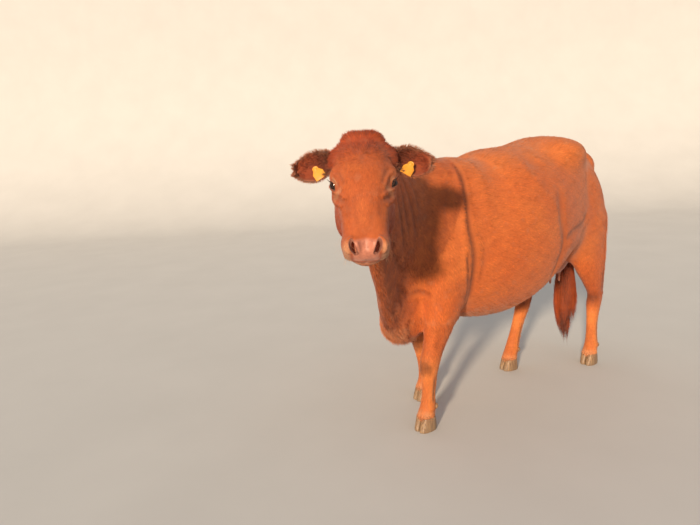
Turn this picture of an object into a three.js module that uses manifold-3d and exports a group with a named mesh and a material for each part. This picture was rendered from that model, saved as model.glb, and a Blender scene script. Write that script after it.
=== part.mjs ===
// A polled cow standing with her head turned to her left. Millimetres, +Z up, head toward -X,
// her left side toward -Y, hooves on z = 0.
import * as THREE from 'three';
import { mergeVertices } from 'three/addons/utils/BufferGeometryUtils.js';
import Module from 'manifold-3d';

const wasm = await Module();
wasm.setup();

// Driving dimensions.
const gap = 0.3;                // clearance between neighbouring pieces
const overrun = 15;             // how far a piece is built past the plane that cuts it
const withersHeight = 1395;
const hipHeight = 1528;
const bellyHeight = 500;
const bellyHalfWidth = 385;
const foreCutHeight = 580;      // where a foreleg leaves the trunk
const hindCutHeights = { left: 740, right: 650 };  // where each hind leg leaves the trunk
const coronetHeight = 74;       // top of the claws
const clawWidth = 49;
const toeReach = 66;            // from the middle of a hoof to the toe
const heelReach = 52;
const headLength = 495;
const cheekHalfWidth = 107;
const muzzleHalfWidth = 94;
const eyeRadius = 21;
const nostrilSize = [9, 21, 18];
const earLength = 158;
const earHalfHeight = 63;
const earThickness = 11;
const earCup = 40;              // depth of the open side at the root
const tagSize = { width: 44, height: 48, thickness: 2.6, button: 12, backButton: 14 };
const tagPlace = [76, -16, -14];   // the button, in the ear's frame
const tagLean = -0.42;             // the flap hangs toward the root of the ear
const tagStands = { front: 34, back: -14 };  // from the middle of the ear to each flap
const teatLength = 62;
const switchHalfWidth = 84;     // the brush at the end of the tail
const switchFoot = 95;          // height of its tip

const v3 = (x, y, z) => new THREE.Vector3(x, y, z);
const up = v3(0, 0, 1);
const cowLeft = v3(0, -1, 0);

// ---- Signed forms: below zero inside ----

// Smooth union of two signed values, rounded over a width of k.
function blend(a, b, k) {
  const h = Math.max(k - Math.abs(a - b), 0) / k;
  return Math.min(a, b) - h * h * k / 4;
}

// Smooth interpolation of rows of numbers, with a few steps for each span between two stations.
function smoothRows(rows, steps) {
  const out = [];
  for (let i = 0; i < rows.length - 1; i += 1) {
    const before = rows[Math.max(i - 1, 0)];
    const after = rows[Math.min(i + 2, rows.length - 1)];
    for (let j = 0; j < steps; j += 1) {
      const t = j / steps;
      const t2 = t * t;
      const t3 = t2 * t;
      out.push(rows[i].map((p1, c) => {
        const p2 = rows[i + 1][c];
        const m1 = (p2 - before[c]) / 2;
        const m2 = (after[c] - p1) / 2;
        const rise = (t3 - 2 * t2 + t) * m1 + (t3 - t2) * m2;
        return (2 * t3 - 3 * t2 + 1) * p1 + (3 * t2 - 2 * t3) * p2 + rise;
      }));
    }
  }
  out.push(rows[rows.length - 1]);
  return out;
}

// A limb is a tube of oval section along a smooth path. A station is its centre x, y, z and the section's
// half sizes: across, over (above or in front) and under (below or behind). power squares the section,
// and cap is how far each end rounds off along the path.
function makeLimb({ stations, left = null, power = 2, cap = [40, 40], steps = 5 }) {
  const rows = smoothRows(stations, steps);
  const frames = rows.map((row, i) => {
    const next = rows[Math.min(i + 1, rows.length - 1)];
    const last = rows[Math.max(i - 1, 0)];
    const along = v3(next[0] - last[0], next[1] - last[1], next[2] - last[2]).normalize();
    const toSide = left ? left.clone() : up.clone().cross(along);
    const over = along.clone().cross(toSide).normalize();
    const across = over.clone().cross(along).normalize();
    return { centre: v3(row[0], row[1], row[2]), along, across, over, sizes: row.slice(3) };
  });
  const value = (p) => {
    let best = Infinity;
    let span = 0;
    let at = 0;
    for (let i = 0; i < frames.length - 1; i += 1) {
      const a = frames[i].centre;
      const b = frames[i + 1].centre;
      const ex = b.x - a.x;
      const ey = b.y - a.y;
      const ez = b.z - a.z;
      const dot = (p.x - a.x) * ex + (p.y - a.y) * ey + (p.z - a.z) * ez;
      const t = Math.min(Math.max(dot / (ex * ex + ey * ey + ez * ez), 0), 1);
      const d = (p.x - a.x - t * ex) ** 2 + (p.y - a.y - t * ey) ** 2 + (p.z - a.z - t * ez) ** 2;
      if (d < best) {
        best = d;
        span = i;
        at = t;
      }
    }
    const from = frames[span];
    const to = frames[span + 1];
    const mix = (x, y) => x + (y - x) * at;
    const q = p.clone().sub(from.centre.clone().lerp(to.centre, at));
    const across = q.dot(from.across.clone().lerp(to.across, at).normalize());
    const over = q.dot(from.over.clone().lerp(to.over, at).normalize());
    const along = q.dot(from.along.clone().lerp(to.along, at).normalize());
    const half = over > 0 ? mix(from.sizes[1], to.sizes[1]) : mix(from.sizes[2], to.sizes[2]);
    const wide = mix(from.sizes[0], to.sizes[0]);
    const ring = (Math.abs(across / wide) ** power + Math.abs(over / half) ** power) ** (2 / power);
    const end = along / (along < 0 ? cap[0] : cap[1]);
    const rho = Math.sqrt(ring + end * end) + 1e-9;
    return q.length() * (1 - 1 / rho);
  };
  return { value, frames };
}

// An egg-shaped mass with its own turn.
function makeMass({ at, size, turn = [0, 0, 0], k }) {
  const centre = v3(...at);
  const back = new THREE.Matrix4().makeRotationFromEuler(new THREE.Euler(...turn)).invert();
  const value = (p) => {
    const q = p.clone().sub(centre).applyMatrix4(back);
    const rho = Math.hypot(q.x / size[0], q.y / size[1], q.z / size[2]) + 1e-9;
    return q.length() * (1 - 1 / rho);
  };
  return { value, k };
}

// ---- Trunk and neck ----

const barrel = makeLimb({
  power: 2.2,
  cap: [90, 150],
  stations: [
    [742, 0, 1240, 136, 195, 230],
    [630, 0, 1210, 215, 290, 350],
    [440, 0, 1150, 285, hipHeight - 1150, 420],
    [230, 0, 1060, 350, 425, 440],
    [0, 0, 990, bellyHalfWidth, 465, 485],
    [-220, 0, 960, bellyHalfWidth - 20, 445, 960 - bellyHeight],
    [-430, 0, 990, 305, withersHeight - 990, 420],
    [-600, 0, 1040, 225, 325, 380],
  ],
});

const neckForm = makeLimb({
  cap: [150, 60],
  stations: [
    [-430, 0, 1110, 235, 275, 380],
    [-620, -25, 1120, 190, 265, 380],
    [-800, -90, 1160, 150, 240, 330],
    [-960, -190, 1230, 128, 200, 270],
    [-1090, -300, 1295, 116, 165, 205],
    [-1180, -390, 1330, 108, 150, 170],
  ],
});

const dewlap = makeLimb({
  cap: [80, 60],
  stations: [
    [-600, 0, 700, 120, 160, 150],
    [-740, -30, 720, 92, 160, 215],
    [-870, -110, 840, 62, 150, 205],
    [-990, -215, 960, 50, 110, 165],
    [-1140, -350, 1110, 46, 60, 90],
  ],
});

const bodyMasses = [
  { at: [-722, 0, 560], size: [118, 95, 112], k: 105 },                          // brisket
  { at: [-545, -180, 960], size: [150, 98, 270], turn: [0, 0.2, 0], k: 90 },     // left shoulder
  { at: [-535, 180, 960], size: [150, 98, 270], turn: [0, 0.2, 0], k: 90 },      // right shoulder
  { at: [400, -170, 1390], size: [150, 105, 84], k: 90 },                        // left hook bone
  { at: [400, 170, 1390], size: [150, 105, 84], k: 90 },                         // right hook bone
  { at: [740, -76, 1318], size: [74, 56, 66], k: 70 },                           // left pin bone
  { at: [740, 76, 1318], size: [74, 56, 66], k: 70 },                            // right pin bone
  { at: [628, -148, 1005], size: [188, 110, 296], k: 80 },                       // left thigh
  { at: [585, 152, 1005], size: [183, 110, 296], k: 80 },                        // right thigh
  { at: [670, 0, 1020], size: [125, 90, 250], k: 70 },                           // between the thighs
].map(makeMass);

// ---- Legs ----

// Stations down each leg: x, y, z, then the half sizes across, in front and behind.
const legStations = {
  foreleg_left: [
    [-575, -200, 840, 80, 120, 130],
    [-590, -190, 700, 80, 108, 122],
    [-622, -173, 560, 64, 78, 90],
    [-652, -160, 440, 52, 58, 64],
    [-672, -152, 348, 51, 54, 54],
    [-674, -148, 270, 40, 42, 46],
    [-677, -145, 190, 36, 38, 42],
    [-682, -142, 122, 43, 42, 46],
    [-694, -141, coronetHeight, 47, 50, 46],
  ],
  foreleg_right: [
    [-560, 200, 840, 80, 120, 130],
    [-545, 190, 700, 80, 108, 118],
    [-515, 173, 560, 64, 78, 86],
    [-488, 160, 440, 52, 58, 64],
    [-466, 152, 348, 51, 54, 54],
    [-456, 148, 270, 40, 42, 46],
    [-448, 145, 190, 36, 38, 42],
    [-447, 142, 122, 43, 42, 46],
    [-459, 141, coronetHeight, 47, 50, 46],
  ],
  hindleg_left: [
    [645, -163, 940, 92, 180, 190],
    [690, -166, 760, 80, 150, 158],
    [752, -166, 600, 60, 98, 98],
    [785, -162, 490, 45, 62, 68],
    [776, -160, 405, 43, 54, 58],
    [768, -160, 310, 36, 44, 44],
    [766, -160, 210, 36, 42, 42],
    [764, -160, 130, 43, 44, 48],
    [748, -160, coronetHeight, 47, 52, 47],
  ],
  hindleg_right: [
    [545, 170, 940, 95, 180, 200],
    [470, 165, 770, 82, 145, 160],
    [452, 154, 620, 60, 92, 104],
    [462, 144, 500, 46, 62, 70],
    [434, 137, 420, 44, 58, 62],
    [390, 131, 330, 37, 46, 48],
    [345, 126, 230, 36, 43, 44],
    [306, 121, 140, 43, 46, 48],
    [274, 117, coronetHeight, 47, 54, 48],
  ],
};
const legBlend = 55;
const legs = Object.entries(legStations).map(([name, stations]) => (
  { name, ...makeLimb({ stations, left: cowLeft, cap: [120, 40], steps: 4 }) }
));

// ---- Head ----

// The head's own frame: x to her right, y down the face from the poll, z out of the forehead.
const pollPlace = v3(-1250, -463, 1513);
const faceAzimuth = THREE.MathUtils.degToRad(234.3);
const faceTilt = THREE.MathUtils.degToRad(36);
const headTurn = new THREE.Matrix4();
{
  const ahead = v3(Math.cos(faceAzimuth), Math.sin(faceAzimuth), 0);
  const downFace = ahead.clone().multiplyScalar(Math.sin(faceTilt)).addScaledVector(up, -Math.cos(faceTilt));
  const outFace = ahead.clone().multiplyScalar(Math.cos(faceTilt)).addScaledVector(up, Math.sin(faceTilt));
  headTurn.makeBasis(downFace.clone().cross(outFace), downFace, outFace).setPosition(pollPlace);
}
const headBack = headTurn.clone().invert();
const headPoint = (x, y, z) => v3(x, y, z).applyMatrix4(headTurn);
const headWay = (x, y, z) => v3(x, y, z).transformDirection(headTurn);
const eyePlace = [100, 212, -41];
const nostrilPlace = [43, 454, -46];

const skull = makeLimb({
  power: 2.4,
  left: v3(1, 0, 0),
  cap: [45, 34],
  stations: [
    [0, 30, -78, 78, 70, 66],
    [0, 110, -78, cheekHalfWidth, 76, 100],
    [0, 200, -82, cheekHalfWidth + 2, 78, 128],
    [0, 290, -86, cheekHalfWidth - 10, 76, 122],
    [0, 370, -88, muzzleHalfWidth - 8, 70, 86],
    [0, headLength - 70, -92, muzzleHalfWidth - 4, 62, 56],
    [0, headLength - 36, -96, muzzleHalfWidth - 10, 46, 46],
  ],
});
const bothSides = (form) => [form, { ...form, at: [-form.at[0], form.at[1], form.at[2]] }];
const headMasses = [
  { at: [0, 20, -52], size: [77, 36, 50], k: 30 },                       // poll
  ...bothSides({ at: [71, 68, -74], size: [47, 44, 42], k: 30 }),        // slope from poll to ear
  ...bothSides({ at: [88, 92, -88], size: [40, 46, 42], k: 30 }),        // root of the ear
  ...bothSides({ at: [90, 172, -44], size: [34, 40, 32], k: 30 }),       // brow
  ...bothSides({ at: [92, 248, -62], size: [26, 30, 30], k: 30 }),       // lower rim of the orbit
  ...bothSides({ at: [74, 270, -150], size: [40, 95, 62], k: 40 }),      // cheek
  ...bothSides({ at: [48, 446, -58], size: [38, 36, 32], k: 24 }),       // nostril rim
  { at: [0, 442, -134], size: [60, 50, 28], k: 24 },                     // chin
].map(makeMass);

function headValue(p) {
  const q = p.clone().applyMatrix4(headBack);
  return headMasses.reduce((value, mass) => blend(value, mass.value(q), mass.k), skull.value(q));
}

// The whole animal without her separate pieces.
function bodyValue(p) {
  let value = blend(barrel.value(p), neckForm.value(p), 140);
  value = blend(value, dewlap.value(p), 80);
  value = bodyMasses.reduce((so, mass) => blend(so, mass.value(p), mass.k), value);
  value = legs.reduce((so, leg) => blend(so, leg.value(p), legBlend), value);
  return blend(value, headValue(p), 55);
}

// ---- Solids ----

// A closed geometry as a solid, moved by a matrix that may mirror it.
function toSolid(geometry, matrix = new THREE.Matrix4()) {
  const bare = geometry.clone();
  bare.deleteAttribute('normal');
  bare.deleteAttribute('uv');
  const merged = mergeVertices(bare.applyMatrix4(matrix), 1e-3);
  const vertProperties = new Float32Array(merged.attributes.position.array);
  const triVerts = new Uint32Array(merged.index.array);
  if (matrix.determinant() < 0) {
    for (let i = 0; i < triVerts.length; i += 3) triVerts.subarray(i, i + 2).reverse();
  }
  return new wasm.Manifold(new wasm.Mesh({ numProp: 3, vertProperties, triVerts }));
}

function toGeometry(solid) {
  const mesh = solid.getMesh();
  const geometry = new THREE.BufferGeometry();
  geometry.setAttribute('position', new THREE.BufferAttribute(new Float32Array(mesh.vertProperties), 3));
  geometry.setIndex(new THREE.BufferAttribute(new Uint32Array(mesh.triVerts), 1));
  geometry.computeVertexNormals();
  return geometry;
}

// A closed skin through rings of points, with a point at the middle of each end. shortEdges splits each
// four-sided face along its shorter diagonal.
function closeRings(rings, first, last, shortEdges = false) {
  const spokes = rings[0].length;
  const points = [...rings.flat(), first, last];
  const index = [];
  const at = (r, s) => r * spokes + (s % spokes);
  const start = points.length - 2;
  for (let s = 0; s < spokes; s += 1) {
    index.push(start, at(0, s + 1), at(0, s));
    index.push(start + 1, at(rings.length - 1, s), at(rings.length - 1, s + 1));
    for (let r = 0; r < rings.length - 1; r += 1) {
      const [a, b, c, d] = [at(r, s), at(r, s + 1), at(r + 1, s + 1), at(r + 1, s)];
      const shorter = shortEdges && points[a].distanceTo(points[c]) < points[b].distanceTo(points[d]);
      index.push(...(shorter ? [a, b, c, a, c, d] : [a, b, d, b, c, d]));
    }
  }
  const geometry = new THREE.BufferGeometry();
  geometry.setAttribute('position', new THREE.Float32BufferAttribute(points.flatMap((p) => p.toArray()), 3));
  geometry.setIndex(index);
  return geometry;
}

// How far along a ray the form ends.
function castRay(from, direction, inside) {
  const stride = 18;
  const reach = 900;
  const point = v3(0, 0, 0);
  const isIn = (distance) => inside(point.copy(from).addScaledVector(direction, distance));
  let near = 0;
  let far = stride;
  while (far < reach && isIn(far)) {
    near = far;
    far += stride;
  }
  for (let i = 0; i < 12; i += 1) {
    const middle = (near + far) / 2;
    if (isIn(middle)) near = middle;
    else far = middle;
  }
  return Math.max(near, 0.5);
}

// A sleeve wraps a form in rings of rays, cast outward from each frame of a path. lowShare crowds the rays
// toward the under side.
function wrapForm(frames, spokes, inside, lowShare = 0, shortEdges = true) {
  const rings = frames.map(({ centre, across, over }) => Array.from({ length: spokes }, (_, s) => {
    const even = 2 * Math.PI * s / spokes;
    const angle = even - lowShare * Math.cos(even);
    const direction = across.clone().multiplyScalar(Math.cos(angle)).addScaledVector(over, Math.sin(angle));
    return centre.clone().addScaledVector(direction, castRay(centre, direction, inside));
  }));
  return toSolid(closeRings(rings, frames[0].centre, frames[frames.length - 1].centre, shortEdges));
}

// Everything on the far side of a plane, moved back from it by a clearance.
function beyond({ point, facing }, clearance) {
  const size = 4000;
  const block = new THREE.BoxGeometry(size, size, size).translate(0, 0, size / 2 + clearance);
  block.applyQuaternion(new THREE.Quaternion().setFromUnitVectors(up, facing));
  return toSolid(block.translate(point.x, point.y, point.z));
}

function regionBlock({ low, high }, grow) {
  const size = high.map((value, i) => value - low[i] + 2 * grow);
  const middle = high.map((value, i) => (value + low[i]) / 2);
  return toSolid(new THREE.BoxGeometry(...size).translate(...middle));
}

const matrixAt = (place, turn = [0, 0, 0]) => (
  new THREE.Matrix4().makeRotationFromEuler(new THREE.Euler(...turn)).setPosition(...place)
);
const ball = (radii, place, turn, spokes = 10, bands = 8) => (
  new THREE.SphereGeometry(1, spokes, bands).scale(...radii).applyMatrix4(matrixAt(place, turn))
);

const cow = new THREE.Group();
const colours = {
  coat: 0xb85f2c, horn: 0x6b5645, eye: 0x17100c, tag: 0xf2c21c, skin: 0xc98a72, brush: 0x6e3219,
};
function addPiece(name, geometry, colour, roughness) {
  const material = new THREE.MeshStandardMaterial({ color: colour, roughness, metalness: 0 });
  const piece = new THREE.Mesh(geometry, material);
  piece.name = name;
  cow.add(piece);
}

// ---- Small pieces ----

// A claw: flat sole, straight inner wall, rounded outer wall. x points to the toe, outside is +1 or -1.
function makeClaw(outside, { x, y, turn }) {
  const levels = [
    { z: 0, scale: 0.95, slope: 0 },
    { z: 6, scale: 1, slope: 0.05 },
    { z: 38, scale: 0.97, slope: 0.5 },
    { z: coronetHeight - gap, scale: 0.92, slope: 1 },
  ];
  const spokes = 12;
  const matrix = new THREE.Matrix4().makeRotationZ(Math.PI + turn - outside * 0.05).setPosition(x, y, 0);
  const rings = levels.map(({ z, scale, slope }) => Array.from({ length: spokes }, (_, s) => {
    const angle = 2 * Math.PI * s / spokes;
    const c = Math.cos(angle);
    const reach = c > 0 ? toeReach - 22 * slope : heelReach - 4 * slope;
    const px = Math.sign(c) * Math.abs(c) ** 0.85 * reach * scale;
    const bulge = Math.sin(angle);
    const py = bulge > 0 ? 0.66 * clawWidth * bulge ** 0.85 : -0.34 * clawWidth * Math.abs(bulge) ** 0.45;
    return v3(px, outside * (py * scale + 0.36 * clawWidth), z).applyMatrix4(matrix);
  }));
  const middle = (level) => v3(0, outside * 0.4 * clawWidth, levels[level].z).applyMatrix4(matrix);
  const ordered = outside > 0 ? rings : rings.map((ring) => [...ring].reverse());
  return closeRings(ordered, middle(0), middle(levels.length - 1));
}

const hoofTurns = { foreleg_left: 0.12, foreleg_right: -0.08, hindleg_left: 0.1, hindleg_right: -0.08 };

// An ear's own frame: x from the root to the tip, y up the ear, z out of its open side.
const earRoot = [104, 74, -96];
const earOutward = v3(0.98, 0.09, -0.17).normalize();
const earUpward = v3(0.09, -0.93, 0.12).projectOnPlane(earOutward).normalize();
function earMatrix(hand) {
  const opening = earUpward.clone().cross(earOutward);
  const turn = new THREE.Matrix4().makeBasis(earOutward, earUpward, opening).setPosition(...earRoot);
  return headTurn.clone().multiply(new THREE.Matrix4().makeScale(hand, 1, 1)).multiply(turn);
}

// A cupped leaf of an ear: a narrow root that opens to a broad, round end.
function makeEar(hand, grow) {
  const steps = 10;
  const half = 4;
  const broadest = 0.56;
  const rings = Array.from({ length: steps }, (_, i) => {
    const t = Math.sin(i / (steps - 1) * Math.PI / 2 * 0.985);
    const opening = 0.36 + 0.64 * THREE.MathUtils.smoothstep(t, 0, broadest);
    const tip = Math.sqrt(1 - Math.max((t - broadest) / (1 - broadest), 0) ** 2);
    const height = earHalfHeight * opening * tip;
    const cup = earCup * (1 - 0.7 * t);
    const shares = Array.from({ length: 2 * half + 1 }, (_, n) => n / half - 1);
    const skin = (w, out) => [
      height * w + grow * Math.sign(w) * w ** 4,
      cup * (w * w - 0.5) + out * (earThickness / 2 * (1 - w ** 4) + 1.5 + 1.8 * grow),
    ];
    const back = shares.map((w) => skin(w, -1));
    const front = shares.map((w) => skin(w, 1)).reverse();
    const x = -30 + (earLength + 30) * t + (2 * t - 1) * grow;
    return [...back, ...front].map(([y, z]) => v3(x, y, z));
  });
  const middle = (ring) => ring[half].clone().add(ring[3 * half + 1]).multiplyScalar(0.5);
  return toSolid(closeRings(rings, middle(rings[0]), middle(rings[steps - 1])), earMatrix(hand));
}

// A tag is a flap that hangs from a round button, on a stud that ends inside the ear. Behind the ear it is
// a plain round button.
function makeTag(hand, stand) {
  const { width, height, thickness, button, backButton } = tagSize;
  const outline = new THREE.Shape();
  if (stand > 0) {
    outline.absarc(0, 0, button, -0.1 * Math.PI, 1.1 * Math.PI, false);
    outline.lineTo(-width / 2, -button - 6);
    outline.lineTo(-width / 2, -height);
    outline.lineTo(width / 2, -height);
    outline.lineTo(width / 2, -button - 6);
  } else {
    outline.absarc(0, 0, backButton, 0, 2 * Math.PI, false);
  }
  const shape = { depth: thickness, bevelEnabled: false, curveSegments: 6 };
  const flap = new THREE.ExtrudeGeometry(outline, shape).rotateZ(tagLean);
  const stud = new THREE.CylinderGeometry(4.5, 4.5, Math.abs(stand), 8).rotateX(Math.PI / 2);
  const at = earMatrix(hand).multiply(new THREE.Matrix4().makeTranslation(...tagPlace));
  return toSolid(flap.translate(0, 0, stand - thickness / 2), at)
    .add(toSolid(stud.translate(0, 0, stand / 2), at));
}

// The tail: a round dock that thins, then a brush.
const tailStations = [
  [725, 0, 1412, 44, 34, 40],
  [795, 2, 1400, 40, 32, 34],
  [838, 12, 1340, 31, 27, 28],
  [858, 34, 1210, 25, 22, 22],
  [862, 66, 1060, 21, 20, 20],
  [858, 96, 900, 20, 20, 20],
  [852, 108, 780, 24, 24, 24],
];
const brushTop = 792;
const brushStations = [
  [852, 107, brushTop + 8, 26, 26, 26],
  [854, 110, 700, 44, 40, 40],
  [864, 112, 560, 66, 56, 56],
  [872, 114, 400, switchHalfWidth, 64, 64],
  [876, 114, 280, switchHalfWidth - 4, 60, 60],
  [876, 114, 170, 52, 40, 40],
  [876, 114, switchFoot, 16, 14, 14],
];

// ---- Planes and regions that part the solids ----

const napePlane = { point: headPoint(0, 120, -168), facing: headWay(0, 0.1, 1).normalize() };
const shoulderPlane = { point: v3(-722, -30, 930), facing: v3(-0.85, -0.15, 0.5).normalize() };
const sideOf = (p, plane) => p.clone().sub(plane.point).dot(plane.facing);
const flip = ({ point, facing }) => ({ point, facing: facing.clone().negate() });

const legRegions = {
  foreleg_left: { low: [-762, -420, coronetHeight], high: [-505, -80, foreCutHeight] },
  foreleg_right: { low: [-690, 80, coronetHeight], high: [-405, 420, foreCutHeight] },
  hindleg_left: { low: [510, -420, coronetHeight], high: [1100, -40, hindCutHeights.left] },
  hindleg_right: { low: [190, 40, coronetHeight], high: [1100, 420, hindCutHeights.right] },
};
const within = (p, { low, high }, margin) => p.x > low[0] - margin && p.x < high[0] + margin
  && p.y > low[1] - margin && p.y < high[1] + margin && p.z > low[2] - margin && p.z < high[2] + margin;

// ---- Trunk ----

// Frames along a path whose rings turn from one facing to another between two shares of its length.
function turningFrames(path, facings, [begin, finish]) {
  return path.map(([x, y, z], i) => {
    const t = THREE.MathUtils.smoothstep(i / (path.length - 1), begin, finish);
    const along = facings[0].clone().lerp(facings[1], t).normalize();
    const over = up.clone().projectOnPlane(along).normalize();
    return { centre: v3(x, y, z), along, over, across: over.clone().cross(along) };
  });
}

function makeTrunk() {
  const { point, facing } = shoulderPlane;
  const front = point.clone().addScaledVector(facing, overrun / 2).toArray();
  const inTrunk = (p) => sideOf(p, shoulderPlane) < overrun
    && !Object.values(legRegions).some((region) => within(p, region, -overrun)) && bodyValue(p) < 0;
  const rump = v3(700, 0, 1170);
  const rear = rump.x + castRay(rump, v3(1, 0, 0), inTrunk);
  const path = smoothRows([[rear - 3, 0, rump.z], [rear - 100, 0, 1150],
    [440, 0, 1100], [60, 0, 1000], [-300, 0, 960], [-560, -10, 930], front], 4);
  const frames = turningFrames(path, [v3(-1, 0, 0), facing], [0.55, 1]);
  let trunk = wrapForm(frames, 34, inTrunk, 0.45).subtract(beyond(shoulderPlane, -gap / 2));
  for (const region of Object.values(legRegions)) trunk = trunk.subtract(regionBlock(region, gap / 2));
  return trunk;
}

function makeLeg(leg) {
  const region = legRegions[leg.name];
  const levels = 15;
  const from = region.high[2] + 8;
  const frames = Array.from({ length: levels }, (_, i) => {
    const z = from + (coronetHeight - 8 - from) * i / (levels - 1);
    const last = leg.frames.length - 1;
    const below = leg.frames.findIndex(({ centre }, n) => n > 0 && (centre.z < z || n === last));
    const a = leg.frames[below - 1].centre;
    const b = leg.frames[below].centre;
    const centre = a.clone().lerp(b, (z - a.z) / (b.z - a.z));
    return { centre, across: cowLeft, over: v3(-1, 0, 0) };
  });
  const inLeg = (p) => within(p, region, overrun) && bodyValue(p) < 0;
  return wrapForm(frames, 12, inLeg).intersect(regionBlock(region, -gap / 2));
}

// ---- Neck and head ----

function makeNeck() {
  const start = shoulderPlane.point.clone().addScaledVector(shoulderPlane.facing, -overrun / 2).toArray();
  const end = napePlane.point.clone().addScaledVector(napePlane.facing, overrun / 2).toArray();
  const path = smoothRows([start, [-880, -115, 1090], [-1030, -240, 1215], end], 4);
  const frames = turningFrames(path, [shoulderPlane.facing, napePlane.facing], [0, 1]);
  const inNeck = (p) => sideOf(p, shoulderPlane) > -overrun && sideOf(p, napePlane) < overrun
    && bodyValue(p) < 0;
  return wrapForm(frames, 30, inNeck, 0.35)
    .subtract(beyond(flip(shoulderPlane), -gap / 2)).subtract(beyond(napePlane, -gap / 2));
}

function makeHead(grow) {
  const rings = 24;
  const frames = Array.from({ length: rings }, (_, i) => {
    const y = -12 + (headLength + 4) * i / (rings - 1);
    return { centre: headPoint(0, y, -80), across: headWay(-1, 0, 0), over: headWay(0, 0, 1) };
  });
  const inHead = (p) => sideOf(p, napePlane) > -overrun && bodyValue(p) < grow;
  return wrapForm(frames, 28, inHead, 0, false).subtract(beyond(flip(napePlane), -gap / 2));
}

function makeNostril(hand) {
  const [x, y, z] = nostrilPlace;
  return toSolid(ball(nostrilSize, [hand * x, y, z], [0.5, 0, hand * 0.45], 10, 6).applyMatrix4(headTurn));
}

function makeEye(hand, grow) {
  const [x, y, z] = eyePlace;
  const radius = eyeRadius + grow;
  return ball([radius, radius, radius], [hand * x, y, z]).applyMatrix4(headTurn);
}

// ---- Udder and dewclaws ----

const udderPlace = [520, 0, 735];
const udderSize = [135, 112, 108];
const teatPlaces = [[468, -48], [468, 48], [566, -44], [566, 44]];
const makeUdder = (grow) => toSolid(ball(udderSize.map((size) => size + grow), udderPlace, [0, 0, 0], 14, 9));

function makeTeat([x, y], grow) {
  const radius = 12.5 + grow;
  const top = udderPlace[2] - udderSize[2] + 26;
  const foot = udderPlace[2] - udderSize[2] - teatLength + 14;
  const outline = [[0, foot - grow], [0.55, foot + 1 - grow], [0.95, foot + 8], [0.85, foot + 24],
    [1.15, top + grow], [0, top + grow]].map(([share, z]) => new THREE.Vector2(share * radius, z));
  return toSolid(new THREE.LatheGeometry(outline, 10).rotateX(Math.PI / 2).translate(x, y, 0));
}

function makeDewclaw(leg, hand, grow) {
  const fetlock = leg.frames[leg.frames.length - 5].centre;
  const size = [15, 12, 19].map((half) => half + grow);
  return ball(size, [fetlock.x + 39, fetlock.y + hand * 22, 120], [0, 0.3, 0], 7, 5);
}

// ---- Put together ----

let head = makeHead(0);
for (const hand of [1, -1]) head = head.subtract(toSolid(makeEye(hand, gap))).subtract(makeNostril(hand));
const aroundHead = makeHead(gap);
addPiece('head', toGeometry(head), colours.coat, 0.85);
addPiece('neck', toGeometry(makeNeck()), colours.coat, 0.85);
for (const [side, hand] of [['right', 1], ['left', -1]]) {
  addPiece(`ear_${side}`, toGeometry(makeEar(hand, 0).subtract(aroundHead)), colours.coat, 0.85);
  addPiece(`eye_${side}`, makeEye(hand, 0), colours.eye, 0.15);
  for (const [place, stand] of Object.entries(tagStands)) {
    const tag = makeTag(hand, stand).subtract(makeEar(hand, 3 * gap));
    addPiece(`tag_${side}_${place}`, toGeometry(tag), colours.tag, 0.45);
  }
}

const hanging = (stations, grow) => {
  const { frames, value } = makeLimb({ stations, left: cowLeft, cap: [20, 20], steps: 2 });
  return wrapForm(frames, 12, (p) => value(p) < grow);
};
const brushCut = { point: v3(0, 0, brushTop), facing: v3(0, 0, -1) };
const aroundTail = hanging(tailStations, gap);
const aroundBrush = hanging(brushStations, gap);
const aroundUdder = makeUdder(gap);
const tail = hanging(tailStations, 0).subtract(beyond(brushCut, -gap / 2));
const tailBrush = hanging(brushStations, 0).subtract(beyond(flip(brushCut), -gap / 2));
const trunk = makeTrunk().subtract(aroundTail).subtract(aroundUdder);
addPiece('trunk', toGeometry(trunk), colours.coat, 0.85);
addPiece('tail', toGeometry(tail), colours.coat, 0.85);
addPiece('tail_brush', toGeometry(tailBrush), colours.brush, 0.9);

const udder = teatPlaces.reduce((solid, teatPlace) => solid.subtract(makeTeat(teatPlace, gap)), makeUdder(0));
addPiece('udder', toGeometry(udder), colours.skin, 0.7);
for (const [i, teatPlace] of teatPlaces.entries()) {
  addPiece(`teat_${i + 1}`, toGeometry(makeTeat(teatPlace, 0)), colours.skin, 0.7);
}

for (const leg of legs) {
  let solid = makeLeg(leg).subtract(aroundTail).subtract(aroundBrush).subtract(aroundUdder);
  for (const [which, hand] of [['a', 1], ['b', -1]]) {
    solid = solid.subtract(toSolid(makeDewclaw(leg, hand, gap)));
    addPiece(`dewclaw_${leg.name}_${which}`, makeDewclaw(leg, hand, 0), colours.horn, 0.5);
    const hoof = leg.frames[leg.frames.length - 1].centre;
    const claw = makeClaw(hand, { x: hoof.x, y: hoof.y, turn: hoofTurns[leg.name] });
    addPiece(`claw_${leg.name}_${which}`, claw, colours.horn, 0.5);
  }
  addPiece(leg.name, toGeometry(solid), colours.coat, 0.85);
}

const place = new THREE.Box3().setFromObject(cow);
cow.position.set(-(place.min.x + place.max.x) / 2, -(place.min.y + place.max.y) / 2, -place.min.z);

export default cow;
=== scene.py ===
# A red polled cow standing with her head turned to her left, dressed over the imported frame.
import math

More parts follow.
